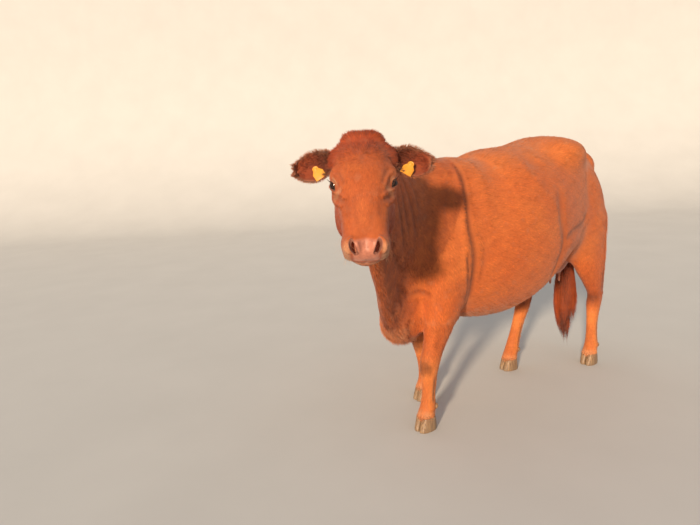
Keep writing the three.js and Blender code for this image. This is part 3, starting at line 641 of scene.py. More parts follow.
def makeSkinMesh(g):
    volume = openvdb.FloatGrid(g["cell"] * 3)
    volume.copyFromArray(sampleSkin(g))
    points, quads = volume.convertToQuads(0.0)
    points = (np.array(g["low"]) + (points + 0.5) * g["cell"]).astype(np.float32)
    mesh = bpy.data.meshes.new("skin")
    mesh.from_pydata(points.tolist(), [], facesOut(points, quads).tolist())
    return mesh


# One property of a mesh's points, edges or corners, as rows.
def rowsOf(items, key, width, kind=np.float32):
    values = np.empty(len(items) * width, kind)
    items.foreach_get(key, values)
    return values.reshape(-1, width)


def meshPoints(mesh):
    return rowsOf(mesh.vertices, "co", 3)


def setAttribute(mesh, name, values):
    values = np.asarray(values, np.float32)
    mesh.attributes.new(name, "FLOAT", "POINT").data.foreach_set("value", values)


# Cuts every face whose corners all pass the test into four.
def refineWhere(mesh, wanted):
    bm = bmesh.new()
    bm.from_mesh(mesh)
    passes = wanted(meshPoints(mesh))
    faces = [f for f in bm.faces if all(passes[v.index] for v in f.verts)]
    edges = list({e for f in faces for e in f.edges})
    bmesh.ops.subdivide_edges(bm, edges=edges, cuts=1, use_grid_fill=True)
    bm.to_mesh(mesh)
    bm.free()


def onFace(p):
    q = headFrame(p)
    ear = np.abs(q[:, 0]) > 100
    return (q[:, 1] > -60) & (q[:, 1] < 540) & (q[:, 2] > -230) & ((q[:, 2] > -190) | ear) & (np.abs(q[:, 0]) < 300)


def onFineParts(p):
    q = headFrame(p)
    side = np.abs(q[:, 0])
    eye = np.linalg.norm(np.stack([side, q[:, 1], q[:, 2]], 1) - (eyePlace + gazeWay * 12), axis=1) < 36
    nose = (q[:, 1] > 425) & (side < 74) & (q[:, 2] > -130)
    return eye | nose


skinMesh = makeSkinMesh(skinGrid)
print("skin meshed:", len(skinMesh.polygons), "faces")
refineWhere(skinMesh, onFace)
refineWhere(skinMesh, onFineParts)
skinPoints = meshPoints(skinMesh)
fine = onFace(skinPoints) | (skinPoints[:, 2] < 420)
skinPoints[fine] = settle(skinValue, skinPoints[fine], 3, 6.0)
skinMesh.vertices.foreach_set("co", ((skinPoints + designShift) * mm).astype(np.float32).ravel())
skinMesh.update()
skinMesh.shade_smooth()
skin = bpy.data.objects.new("skin", skinMesh)
bpy.context.scene.collection.objects.link(skin)
print("skin settled:", len(skinMesh.vertices), "points")

# The parts of the body, divided as the solids are
legRegions = {
    "foreleg_left": ([-762, -420, -50], [-505, -80, 580]),
    "foreleg_right": ([-690, 80, -50], [-405, 420, 580]),
    "hindleg_left": ([510, -420, -50], [1100, -40, 740]),
    "hindleg_right": ([190, 40, -50], [1100, 420, 650]),
}
partNames = ["trunk", "neck", "head", *legRegions, "tail", "udder", "ear_right", "ear_left"]
partIndex = {name: i for i, name in enumerate(partNames)}
trunkPart, neckPart, headPart = (partIndex[name] for name in ("trunk", "neck", "head"))


def partOf(p):
    part = np.full(len(p), trunkPart, np.int32)
    part[(p - [-722, -30, 930]) @ unit([-0.85, -0.15, 0.5]) > 0] = neckPart
    q = headFrame(p)
    part[(part == neckPart) & ((q - [0, 120, -168]) @ unit([0, 0.1, 1]) > 0)] = headPart
    for name, (low, high) in legRegions.items():
        part[((p > low) & (p < high)).all(1)] = partIndex[name]
    part[(p[:, 0] > 770) & (tailForm.value(p) < 6)] = partIndex["tail"]
    low = np.min([teat.value(p) for teat in teatForms], axis=0)
    part[((udderForm.value(p) < 14) & (p[:, 2] < 735)) | (low < 4)] = partIndex["udder"]
    for name, ear in ears.items():
        x, y, z = ear.local(p).T
        nearEar = (x > 8) & (np.abs(y) < 80) & (np.abs(z) < 70)
        part[nearEar & (ear.value(p) < np.where(x > 60, 30, 6))] = partIndex[name]
    return part


# Each part is unrolled round its own length into its own field of the map, with the seam underneath.
unrollFields = {
    "trunk": (0, 0, 0.50, 0.84), "neck": (0.52, 0, 0.74, 0.50), "head": (0.52, 0.52, 0.98, 0.98),
    "foreleg_left": (0.76, 0, 0.86, 0.24), "foreleg_right": (0.88, 0, 0.98, 0.24),
    "hindleg_left": (0.76, 0.26, 0.86, 0.50), "hindleg_right": (0.88, 0.26, 0.98, 0.50),
    "tail": (0, 0.86, 0.20, 0.98), "udder": (0.22, 0.86, 0.34, 0.98),
    "ear_right": (0.36, 0.86, 0.43, 0.99), "ear_left": (0.44, 0.86, 0.51, 0.99),
}


def alongPath(path, z):
    order = np.argsort(path[:, 2])
    return (np.interp(z, path[order, 2], path[order, i]) for i in (0, 1))


# Shares along and round a part for each point.
def unroll(p, part):
    along, around = np.zeros(len(p)), np.zeros(len(p))
    for name, i in partIndex.items():
        here = part == i
        x, y, z = p[here].T
        if name == "trunk":
            s, a = (x + 880) / 1800, np.arctan2(y, z - 1060)
        elif name == "neck":
            way = unit([830, 440, -280])
            rel = p[here] - [-1250, -440, 1330]
            side = unit(np.cross([0, 0, 1], way))
            s, a = rel @ way / 980, np.arctan2(rel @ side, rel @ np.cross(way, side))
        elif name == "head":
            q = headFrame(p[here])
            s, a = (q[:, 1] + 70) / 590, np.arctan2(q[:, 0], q[:, 2] + 88)
        elif name in legs or name == "tail":
            cx, cy = alongPath((legs[name] if name in legs else tailForm).path, z)
            s, a = (z - 60) / (700 if name in legs else 1400), np.arctan2(y - cy, cx - x)
        elif name == "udder":
            s, a = (760 - z) / 190, np.arctan2(y, 520 - x)
        else:
            u, v, w = ears[name].local(p[here]).T
            back = w < ears[name].middle(u, v)[0]
            s, a = (u + 40) / 210, np.clip((v + 72) / 144, 0, 1) * 3 - np.where(back, 3.1, 0)
        along[here], around[here] = np.clip(s, 0, 1), a / (2 * np.pi) + 0.5
    return along, around


def bakeMap(along, around, part):
    fields = np.array([unrollFields[name] for name in partNames])[part]
    u = fields[:, 0] + (fields[:, 2] - fields[:, 0]) * (0.01 + 0.98 * along)
    v = fields[:, 1] + (fields[:, 3] - fields[:, 1]) * (0.01 + 0.98 * np.clip(around, 0, 1))
    return np.stack([u, v], 1)


# A quad whose corners lie on both sides of a seam keeps the side of its middle.
def skinMap(points, quads):
    centre = points[quads].mean(1)
    part = partOf(centre)
    _, middle = unroll(centre, part)
    corners, parts = quads.ravel(), np.repeat(part, 4)
    along, around = unroll(points[corners], parts)
    middle = np.repeat(middle, 4)
    around = np.where(around - middle > 0.5, around - 1, np.where(middle - around > 0.5, around + 1, around))
    return bakeMap(along, around, parts)


# Which way the hair lies: back and down the trunk, down the neck and legs, away from the whorl on the forehead.
def lieOf(p, part):
    way = np.tile([1.0, 0, -0.34], (len(p), 1))
    rump = smoothStep(p[:, 0], 420, 780)
    way[:, 0] -= 0.85 * rump
    way[:, 2] -= 1.1 * rump
    low = smoothStep(p[:, 2], 820, 600) * (part == trunkPart)
    way[:, 2] += 0.34 * low
    fore = smoothStep(p[:, 0], -380, -560) * smoothStep(p[:, 2], 1150, 900)
    way += fore[:, None] * [-0.55, 0, -0.8]
    way[part == neckPart] = unit([0.72, 0.32, -0.85])
    q = headFrame(p)
    away = q - [0, 142, 24]
    turned = np.cross(away, [0, 0, 1])
    near = np.exp(-((np.linalg.norm(away[:, :2], axis=1) / 34) ** 2))
    head = part == headPart
    way[head] = ((unit(away) + 0.9 * near[:, None] * unit(turned)) @ headTurn)[head]
    for name in legs:
        way[part == partIndex[name]] = [0.12, 0, -1]
    way[part == partIndex["tail"]] = [0, 0, -1]
    way[part == partIndex["udder"]] = [0.3, 0, -1]
    for name, ear in ears.items():
        here = part == partIndex[name]
        local = ear.local(p[here])
        out = np.stack([np.full(len(local), 1.0), np.clip(local[:, 1] / 60, -1, 1) * 0.7, np.zeros(len(local))], 1)
        way[here] = (out @ ear.turn * [ear.hand, 1, 1]) @ headTurn
    swirl = 0.16 * np.sin(p @ [0.021, 0.017, 0.013]) + 0.12 * np.sin(p @ [-0.034, 0.029, 0.047] + 1.7)
    swirl += 0.08 * np.sin(p @ [0.11, -0.09, 0.07] + 0.6)
    return way, swirl


def smoothOver(values, edges, count, rounds):
    share = np.maximum(np.bincount(edges.ravel(), minlength=count), 1)[:, None]
    for _ in range(rounds):
        total = np.stack([
            np.bincount(edges[:, 0], values[edges[:, 1], i], count)
            + np.bincount(edges[:, 1], values[edges[:, 0], i], count)
            for i in range(values.shape[1])
        ], 1) / share
        values = 0.4 * values + 0.6 * total
    return values


def foldDepth(p):
    blocks = Blocks(p)
    depth = np.zeros(len(p), np.float32)
    for crease in creases:
        near = blocks.near(crease.low, crease.high)
        if len(near):
            depth[near] += np.maximum(crease.value(blocks.p[near]), 0) * 12 / max(crease.width, 5)
    return blocks.unsorted(depth)


# Markings of the coat, each from zero to one, drawn in the head's frame and along the legs. Light holds some painted
# sunlight, dark some painted shade.
def markingsOf(p, part):
    q = headFrame(p)
    side = np.abs(q[:, 0])
    head = part == headPart
    plate = smoothStep(q[:, 1], 424 + 0.3 * side, 441 + 0.3 * side) * smoothStep(side, 52, 38)
    plate = plate * smoothStep(q[:, 2], -106, -94)
    lips = np.exp(-((q[:, 2] + 115 + 0.14 * side) / 7) ** 2) * smoothStep(q[:, 1], 425, 450)
    inNostril = smoothStep(np.min([cut.value(q) for cut in nostrils], axis=0), 4.5, 1.0)
    local = np.stack([side, q[:, 1], q[:, 2]], 1) - eyePlace
    u, v, w = local @ lidWay, local @ browWay, local @ gazeWay
    gape = gapeOf(u, v)
    nearEye = (np.linalg.norm(local, axis=1) < 48) & (w > 0)
    lidRim = smoothStep(np.abs(v) - gape, 3.6, 1.4) * nearEye
    eyeSocket = smoothStep(np.abs(v) - gape, 1.6, 0.2) * nearEye
    udder = part == partIndex["udder"]
    seat = np.exp(-(((p - [838, 0, 1235]) / [60, 26, 46]) ** 2).sum(1)) * (part != partIndex["tail"])
    bare = np.clip(head * (plate + inNostril + 0.75 * lips + lidRim) + 0.82 * udder + seat, 0, 1)
    pale = head * (
        0.5 * smoothStep(q[:, 1], 422, 478) * smoothStep(side, 42, 64)
        + 0.4 * smoothStep(q[:, 1], 400, 470) * smoothStep(q[:, 2], -94, -120)
        + 0.5 * np.exp(-((u + 1) / 21) ** 2 - ((v - 20) / 6.0) ** 2) * nearEye
        + 0.32 * np.exp(-((q[:, 1] - 262 + 0.25 * (96 - side)) / 12) ** 2 - ((side - 92) / 22) ** 2)
    )
    pale += 0.35 * smoothStep(p[:, 2], 128, 84) + 0.3 * smoothStep(p[:, 2], 640, 520) * (part == trunkPart)
    dark = head * (
        0.9 * lidRim * smoothStep(np.abs(v) - gape, -2, 1)
        + 0.4 * np.exp(-((u - 26) / 9) ** 2 - ((v + 2) / 6) ** 2) * nearEye
        # Inside the nostrils: darker lining, and painted shade of the holes.
        + 0.7 * inNostril
    ) + 0.75 * seat
    red = head * np.clip(0.36 + 0.55 * smoothStep(q[:, 1], 190, 40) + 0.45 * smoothStep(q[:, 2], -20, -80), 0, 0.9)
    red += 0.3 * (part == neckPart) + 0.42 * (part == partIndex["tail"])
    for name, ear in ears.items():
        here = part == partIndex[name]
        x, y, z = ear.local(p).T
        middle, spread, _ = ear.middle(x, y)
        front = here * smoothStep(z - middle, -1, 2)
        rim = smoothStep(np.abs(spread), 0.72, 0.98) + smoothStep(x, 138, 156)
        # The open side of the ear is darker hair, and the deepening toward the root is painted shade in the cup.
        dark = dark + front * np.clip(0.45 * smoothStep(x, 120, 20) + 0.25, 0, 0.6)
        red = red + here * (0.35 + 0.5 * front)
        pale = pale + 0.25 * here * np.clip(rim, 0, 1)
    light = np.zeros(len(p))
    for name, leg in legs.items():
        here = part == partIndex[name]
        cx, _ = alongPath(leg.path, p[:, 2])
        # The lower legs are lighter: partly paler hair, partly painted sunlight.
        light += here * smoothStep(p[:, 2], 520, 300) * 0.75
        knee = 345 if name.startswith("fore") else 455
        front = smoothStep(cx - p[:, 0], 0, 34)
        dark += here * 0.62 * np.exp(-((p[:, 2] - knee) / 42) ** 2) * front
        top = legRegions[name][1][2]
        red += here * (0.5 * smoothStep(p[:, 2], 330, 460) * smoothStep(p[:, 2], top, top - 220)
                       + 0.4 * front * smoothStep(p[:, 2], 330, 230))
        dark += here * 0.22 * np.exp(-((p[:, 2] - 122) / 24) ** 2) * smoothStep(p[:, 0] - cx, 0, 30)
    # The top of the back is made lighter as painted sunlight; the nose bridge is a little lighter.
    sunlitBack, downNose = smoothStep(p[:, 2], 1200, 1420), smoothStep(q[:, 1], 300, 420)
    light += 0.35 * sunlitBack * (part == trunkPart) + 0.12 * downNose * head
    # The lower neck is darker: partly darker hair, partly the head's painted shadow.
    dark += 0.28 * (part == neckPart) * smoothStep(p[:, 2], 1340, 1150)
    out = {"bare": bare, "pale": pale, "dark": dark, "red": red, "light": light, "socket": head * eyeSocket}
    return {name: np.clip(value, 0, 1).astype(np.float32) for name, value in out.items()}


placed = meshPoints(skinMesh) / mm - designShift
skinQuads = rowsOf(skinMesh.loops, "vertex_index", 1, np.int32).reshape(-1, 4)
normals = rowsOf(skinMesh.vertices, "normal", 3)
edges = rowsOf(skinMesh.edges, "vertices", 2, np.int32)
skinPart = partOf(placed)
print("parts told apart")
marks = markingsOf(placed, skinPart)
# The fold mark is painted shade: it darkens the coat by how deep the creases are.
marks["foldshade"] = np.clip(foldDepth(placed) / 12, 0, 1).astype(np.float32)
lie, swirl = lieOf(placed, skinPart)
flatten = lambda v, n: unit(v - (v * n).sum(1, keepdims=True) * n)
lie = flatten(smoothOver(flatten(lie, normals), edges, len(placed), 14), normals)
turn = swirl[:, None]
lie = np.cos(turn) * lie + np.sin(turn) * np.cross(normals, lie)
softNormals = unit(smoothOver(normals.copy(), edges, len(placed), 3))
print("lie of the coat drawn")

# Strands grown from the skin: tufts, locks, lashes and whiskers
mostTriangles = 190000  # in one piece
triangles = []
skinMesh.calc_loop_triangles()
corners = rowsOf(skinMesh.loop_triangles, "vertices", 3, np.int32)
areas = np.linalg.norm(
    np.cross(placed[corners[:, 1]] - placed[corners[:, 0]], placed[corners[:, 2]] - placed[corners[:, 0]]), axis=1
) / 200  # square centimetres


# Roots spread over the skin by a density per square centimetre at each of its points.
def scatter(density):
    total = np.cumsum(areas * density[corners].mean(1))
    count = int(total[-1])
    pick = np.searchsorted(total, (np.arange(count) + rng.random(count)) * total[-1] / count)
    pick = np.minimum(pick, len(corners) - 1)
    a, b = np.sqrt(rng.random(count)), rng.random(count)
    shares = np.stack([1 - a, a * (1 - b), a * b], 1)
    at = lambda values: np.einsum("ij,ij...->i...", shares, values[corners[pick]])
    return at, count


def meshFrom(name, points, faces):
    mesh = bpy.data.meshes.new(name)
    mesh.vertices.add(len(points))
    mesh.vertices.foreach_set("co", np.ascontiguousarray(points, np.float32).ravel())
    mesh.loops.add(faces.size)
    mesh.loops.foreach_set("vertex_index", np.ascontiguousarray(faces, np.int32).ravel())
    mesh.polygons.add(len(faces))
    mesh.polygons.foreach_set("loop_start", np.arange(0, faces.size, faces.shape[1], dtype=np.int32))
    mesh.update(calc_edges=True)
    mesh.shade_smooth()
    return mesh


def addPiece(name, mesh, material, slot, *nodes):
    mesh.materials.append(material)
    piece = bpy.data.objects.new(name, mesh)
    bpy.context.scene.collection.objects.link(piece)
    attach(piece, "root")
    if nodes:
        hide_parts(*nodes)


# Corner numbers of one closed strand: a point at the root, a three-sided ring at each station, a point at the tip.
def strandFaces(stations):
    rings, tip = stations - 2, 3 * (stations - 2) + 1
    faces = [(0, 2, 3), (0, 3, 1), (0, 1, 2)]
    for i in range(rings - 1):
        a, b = 1 + 3 * i, 4 + 3 * i
        for j, k in ((1, 2), (2, 0), (0, 1)):
            faces += [(a + j, b + j, b + k), (a + j, b + k, a + k)]
    last = 1 + 3 * (rings - 1)
    faces += [(last, last + 2, tip), (last + 2, last + 1, tip), (last + 1, last, tip)]
    return np.array(faces)


# One object of strands; paths are (count, stations, 3) in millimetres.
def addStrands(name, paths, half, outward, attributes, bake, material, slot, thick=0.5):
    count, stations, _ = paths.shape
    along = unit(np.gradient(paths, axis=1))
    across = unit(np.cross(along, outward))
    top = np.cross(across, along)
    half = half[..., None]
    rings = np.stack([paths - across * half, paths + across * half, paths + top * half * thick], 2)[:, 1:-1]
    points = np.concatenate([paths[:, :1], rings.reshape(count, -1, 3), paths[:, -1:]], 1)
    facing = np.stack([outward - 0.55 * across, outward + 0.55 * across, outward], 2)[:, 1:-1]
    facing = unit(np.concatenate([outward[:, :1], facing.reshape(count, -1, 3), outward[:, -1:]], 1))
    one = facesOut(points[0], strandFaces(stations))
    corner = points.shape[1]
    share = np.concatenate([[0], np.repeat(np.linspace(0, 1, stations)[1:-1], 3), [1]])
    sideways = np.concatenate([[0], np.tile([-1, 1, 0], stations - 2), [0]])
    patch = np.stack([(share - 0.5) * 0.003, sideways * 0.0015], 1)
    perPiece = mostTriangles // len(one)
    number = 0
    for number, start in enumerate(range(0, count, perPiece)):
        chosen = slice(start, min(start + perPiece, count))
        size = chosen.stop - start
        faces = (one[None] + (np.arange(size) * corner)[:, None, None]).reshape(-1, 3)
        mesh = meshFrom(f"{name}_{number}", toFrame(points[chosen].reshape(-1, 3)), faces)
        for key, values in attributes.items():
            setAttribute(mesh, key, np.repeat(values[chosen], corner))
        setAttribute(mesh, "tip", np.tile(share, size))
        uv = (bake[chosen][:, None] + patch[None]).reshape(-1, 2)
        uv = np.clip(uv, 0, 1)[faces.ravel()].astype(np.float32)
        mesh.uv_layers.new(name="OFBake").data.foreach_set("uv", uv.ravel())
        if stations == 3:  # short tufts take most of their shading from the skin
            mesh.normals_split_custom_set_from_vertices(facing[chosen].reshape(-1, 3).astype(np.float32))
        addPiece(f"{name}_{number}", mesh, material, slot)
    triangles.append(count * len(one))
    print(f"  {name}: {count} strands, {count * len(one)} triangles, {number + 1} pieces")


# Darker and lighter streaks, long the way a part runs and narrow round it.
def streaksOf(along, around):
    a, r = along * 2 * np.pi, around * 2 * np.pi
    waves = ((37, 9, 0.3), (61, 14, 1.9), (97, 23, 4.1), (143, 31, 2.6), (19, 6, 5.2))
    return sum(np.sin(fine * r + 2.4 * np.sin(slow * a + start) + start) for fine, slow, start in waves) / 2.2


# Hair over the skin: droop bends it down toward the tip, wave sways it, and free hair keeps its own way.
def growHair(name, density, length, width, lift, material, stations=3, droop=0.0, wave=0.0,
             way=None, free=False, facing=None, extra=None, contrast=0.7):
    at, count = scatter(density)
    over = lambda value: at(np.broadcast_to(value, len(placed)))
    if count < 2:
        return
    root, out = at(placed), unit(at(softNormals if facing is None else facing))
    ahead = unit(at(lie if way is None else way))
    out = flatten(out, ahead) if free else out
    ahead = ahead if free else flatten(ahead, out)
    turn = rng.normal(0, 0.16, (count, 1))
    ahead = np.cos(turn) * ahead + np.sin(turn) * np.cross(out, ahead)
    size = over(length) * rng.uniform(0.72, 1.22, count)
    steep = over(lift) * rng.uniform(0.6, 1.5, count)
    t = (np.linspace(0, 1, stations) if stations > 3 else np.array([0, 0.36, 1]))[None, :, None]
    run, rise = (size * np.cos(steep))[:, None, None], (size * np.sin(steep))[:, None, None]
    across = np.cross(out, ahead)[:, None]
    phase = rng.uniform(0, 6.28, (count, 1, 1))
    paths = root[:, None] - out[:, None] + t * run * ahead[:, None]
    paths = paths + t * rise * out[:, None]
    paths = paths + wave * size[:, None, None] * t * np.sin(phase + 4.2 * t) * across
    paths[..., 2] -= (droop * size[:, None, None] * t**2)[..., 0]
    taper = (np.array([0, 1, 0]) if stations == 3 else np.sin(np.pi * np.linspace(0, 1, stations) ** 0.6) ** 0.7)
    half = (over(width) * rng.uniform(0.75, 1.25, count) / 2)[:, None] * taper
    part = partOf(root)
    along, around = unroll(root, part)
    attributes = {key: at(value) for key, value in marks.items() if key != "socket"}
    for key, value in (extra or {}).items():
        attributes[key] = np.clip(attributes[key] + value, 0, 1)
    attributes["shade"] = np.clip(0.5 + contrast * (rng.random(count) - 0.5) + 0.3 * streaksOf(along, around), 0, 1)
    outward = np.repeat(out[:, None], stations, 1)
    addStrands(name, paths, half, outward, attributes, bakeMap(along, around, part), material, "coat")


# Shader node groups shared by the coat, the bare skin and the horn
def nodeGroup(name, inputs, outputs):
    group = bpy.data.node_groups.new(name, "ShaderNodeTree")
    for key, (kind, value) in inputs.items():
        socket = group.interface.new_socket(key, in_out="INPUT", socket_type=kind)
        if value is not None:
            socket.default_value = value
    for key, kind in outputs.items():
        group.interface.new_socket(key, in_out="OUTPUT", socket_type=kind)
    return group, group.nodes.new("NodeGroupInput"), group.nodes.new("NodeGroupOutput")


def put(tree, kind, links=None, **settings):
    node = tree.nodes.new(kind)
    for key, value in settings.items():
        setattr(node, key, value)
    for key, value in (links or {}).items():
        socket = node.inputs[key]
        if isinstance(value, bpy.types.NodeSocket):
            tree.links.new(value, socket)
        else:
            socket.default_value = value
    return node


def mixed(tree, share, a, b, way="MIX"):
    node = put(tree, "ShaderNodeMix", {0: share, 6: a, 7: b}, data_type="RGBA", blend_type=way)
    return node.outputs[2]


def sums(tree, way, a, b):
    return put(tree, "ShaderNodeMath", {0: a, 1: b}, operation=way).outputs[0]


def spread(tree, value, low, high, start=0.0, end=1.0):
    node = put(tree, "ShaderNodeMapRange", {0: value, 1: low, 2: high, 3: start, 4: end})
    return node.outputs[0]


def noise(tree, place, scale, detail=3.0, roughness=0.55):
    node = put(tree, "ShaderNodeTexNoise", {"Vector": place, "Scale": scale, "Detail": detail, "Roughness": roughness})
    return node.outputs[0]


colour, number, vector = "NodeSocketColor", "NodeSocketFloat", "NodeSocketVector"
coatColours = {
    "base": (0.50, 0.108, 0.021, 1), "light": (0.66, 0.20, 0.045, 1), "red": (0.30, 0.046, 0.011, 1),
    "dark": (0.065, 0.018, 0.008, 1), "pale": (0.66, 0.37, 0.20, 1),
}


# The coat's colour from its marks: red and pale hair, light hair and painted sunlight, dark hair and painted shade,
# painted shade in the folds, and a shade for each tuft.
def makeCoatMarkings(c):
    group, given, out = nodeGroup(
        "coatMarkings",
        {"Place": (vector, None), "Red": (number, 0), "Light": (number, 0), "Pale": (number, 0), "Dark": (number, 0),
         "Foldshade": (number, 0), "Shade": (number, 0.5), "Tip": (number, 0.5)},
        {"Colour": colour},
    )
    g = given.outputs
    broad = noise(group, g["Place"], 3.2, 4)
    middle = noise(group, g["Place"], 19, 4)
    small = noise(group, g["Place"], 90, 3)

    def uneven(value, size):
        strayed = sums(group, "MULTIPLY", sums(group, "SUBTRACT", middle, 0.5), size)
        return spread(group, sums(group, "ADD", value, strayed), 0.06, 0.94)

    tone = mixed(group, spread(group, broad, 0.35, 0.68, 0.0, 0.34), c["base"], c["light"])
    tone = mixed(group, spread(group, middle, 0.40, 0.70, 0.0, 0.30), tone, c["red"])
    # The light and dark marks carry lighter and darker hair, and also painted sunlight and painted shade.
    tone = mixed(group, uneven(g["Light"], 0.5), tone, c["light"])
    tone = mixed(group, uneven(g["Red"], 0.5), tone, c["red"])
    tone = mixed(group, uneven(g["Pale"], 0.7), tone, c["pale"])
    tone = mixed(group, uneven(g["Dark"], 0.4), tone, c["dark"])
    # Painted shade: the coat darkens toward the dark colour in the creases.
    tone = mixed(group, sums(group, "MULTIPLY", g["Foldshade"], 0.72), tone, c["dark"])
    shade = spread(group, sums(group, "ADD", g["Shade"], sums(group, "MULTIPLY", small, 0.5)), 0, 1.5, 0.54, 1.46)
    shade = sums(group, "MULTIPLY", shade, spread(group, g["Tip"], 0, 1, 0.80, 1.16))
    grey = put(group, "ShaderNodeCombineColor", {0: shade, 1: shade, 2: shade}).outputs[0]
    group.links.new(mixed(group, 1.0, tone, grey, "MULTIPLY"), out.inputs["Colour"])
    return group


# Height of short hair lying along the map's first direction.
def makeHairGrain():
    group, given, out = nodeGroup(
        "hairGrain", {"Map": (vector, None), "Fineness": (number, 1.0)}, {"Height": number}
    )
    streaks = None
    for along, across, share in ((260, 2200, 0.5), (110, 900, 0.35), (30, 160, 0.3)):
        scaled = put(group, "ShaderNodeVectorMath", {0: given.outputs["Map"], 1: (along, across, 1)},
                     operation="MULTIPLY")
        scaled = put(group, "ShaderNodeVectorMath", {0: scaled.outputs[0], "Scale": given.outputs["Fineness"]},
                     operation="SCALE")
        part = sums(group, "MULTIPLY", noise(group, scaled.outputs[0], 1.0, 2), share)
        streaks = part if streaks is None else sums(group, "ADD", streaks, part)
    group.links.new(streaks, out.inputs["Height"])
    return group


# Fine cobbles and lines of bare skin.
def makeBareGrain():
    group, given, out = nodeGroup(
        "bareGrain", {"Place": (vector, None), "Size": (number, 420.0)}, {"Height": number, "Stain": number}
    )
    cells = put(group, "ShaderNodeTexVoronoi", {"Vector": given.outputs["Place"], "Scale": given.outputs["Size"]},
                feature="SMOOTH_F1")
    lines = noise(group, given.outputs["Place"], 160, 4)
    stain = noise(group, given.outputs["Place"], 46, 3)
    dome = sums(group, "SUBTRACT", 1.0, cells.outputs["Distance"])
    group.links.new(sums(group, "ADD", dome, sums(group, "MULTIPLY", lines, 0.8)), out.inputs["Height"])
    group.links.new(stain, out.inputs["Stain"])
    return group


# Dust and mud, thickest near the ground and in the hollows of a noise.
def makeDust():
    group, given, out = nodeGroup(
        "dust", {"Place": (vector, None), "Top": (number, 0.1), "Amount": (number, 0.5)}, {"Mask": number}
    )
    height = put(group, "ShaderNodeSeparateXYZ", {0: given.outputs["Place"]}).outputs[2]
    low = spread(group, sums(group, "DIVIDE", height, given.outputs["Top"]), 0, 1, 1, 0)
    patches = spread(group, noise(group, given.outputs["Place"], 60, 5, 0.65), 0.42, 0.62)
    mask = sums(group, "MULTIPLY", sums(group, "MULTIPLY", low, patches), given.outputs["Amount"])
    group.links.new(mask, out.inputs["Mask"])
    return group


coatMarkings, hairGrain, bareGrain, dust = makeCoatMarkings(coatColours), makeHairGrain(), makeBareGrain(), makeDust()


def newMaterial(name, **settings):
    material = bpy.data.materials.new(name)
    material.use_nodes = True
    tree = material.node_tree
    shader = tree.nodes["Principled BSDF"]
    for key, value in settings.items():
        shader.inputs[key].default_value = value
    return material, tree, shader


def attribute(tree, name):
    return put(tree, "ShaderNodeAttribute", attribute_name=name).outputs["Fac"]


def useGroup(tree, group, links):
    return put(tree, "ShaderNodeGroup", links, node_tree=group).outputs


def bumped(tree, height, strength, distance, normal=None):
    links = {"Height": height, "Strength": strength, "Distance": distance}
    if normal is not None:
        links["Normal"] = normal
    return put(tree, "ShaderNodeBump", links).outputs[0]


# inside: dark skin of the lid rims and under the tail, and painted shade inside the nostrils.
bareColours = {"pink": (0.52, 0.19, 0.115, 1), "deep": (0.22, 0.07, 0.045, 1), "inside": (0.035, 0.012, 0.010, 1)}


def coatColour(tree, place, shade, tip):
    links = {key.capitalize(): attribute(tree, key) for key in ("red", "light", "pale", "dark", "foldshade")}
    return useGroup(tree, coatMarkings, {"Place": place, "Shade": shade, "Tip": tip, **links})


# The skin under the tufts carries the same marks; muzzle, lids and udder are bare.
def makeSkinLook(c):
    material, tree, shader = newMaterial("coatSkin")
    shader.inputs["Sheen Weight"].default_value = 0.12
    shader.inputs["Sheen Roughness"].default_value = 0.5
    shader.inputs["Specular IOR Level"].default_value = 0.32
    place = put(tree, "ShaderNodeTexCoord").outputs["Object"]
    unwrapped = put(tree, "ShaderNodeUVMap", uv_map="OFBake").outputs[0]
    hair = useGroup(tree, hairGrain, {"Map": unwrapped, "Fineness": 1.0})["Height"]
    coat = coatColour(tree, place, hair, 0.3)["Colour"]
    grain = useGroup(tree, bareGrain, {"Place": place, "Size": 430.0})
    bareTone = mixed(tree, spread(tree, grain["Stain"], 0.42, 0.66, 0.0, 0.55), c["pink"], c["deep"])
    # Where the dark mark lies on bare skin: dark skin, and painted shade in the nostrils.
    bareTone = mixed(tree, sums(tree, "MULTIPLY", attribute(tree, "dark"), 0.85), bareTone, c["inside"])
    bare = attribute(tree, "bare")
    tree.links.new(mixed(tree, bare, coat, bareTone), shader.inputs["Base Color"])
    tree.links.new(spread(tree, bare, 0, 1, 0.72, 0.40), shader.inputs["Roughness"])
    fur = sums(tree, "MULTIPLY", hair, spread(tree, bare, 0, 0.6, 1, 0))
    normal = bumped(tree, fur, 0.55, 0.004)
    cobbles = sums(tree, "MULTIPLY", grain["Height"], bare)
    tree.links.new(bumped(tree, cobbles, 0.35, 0.0016, normal), shader.inputs["Normal"])
    return material


def makeHairLook(name, roughness=0.58):
    material, tree, shader = newMaterial(name, Roughness=roughness)
    shader.inputs["Sheen Weight"].default_value = 0.10
    shader.inputs["Sheen Roughness"].default_value = 0.45
    shader.inputs["Specular IOR Level"].default_value = 0.25
    place = put(tree, "ShaderNodeTexCoord").outputs["Object"]
    coat = coatColour(tree, place, attribute(tree, "shade"), attribute(tree, "tip"))
    tree.links.new(coat["Colour"], shader.inputs["Base Color"])
    return material


hornColours = {"pale": (0.40, 0.24, 0.12, 1), "brown": (0.13, 0.065, 0.034, 1), "mud": (0.23, 0.17, 0.11, 1)}


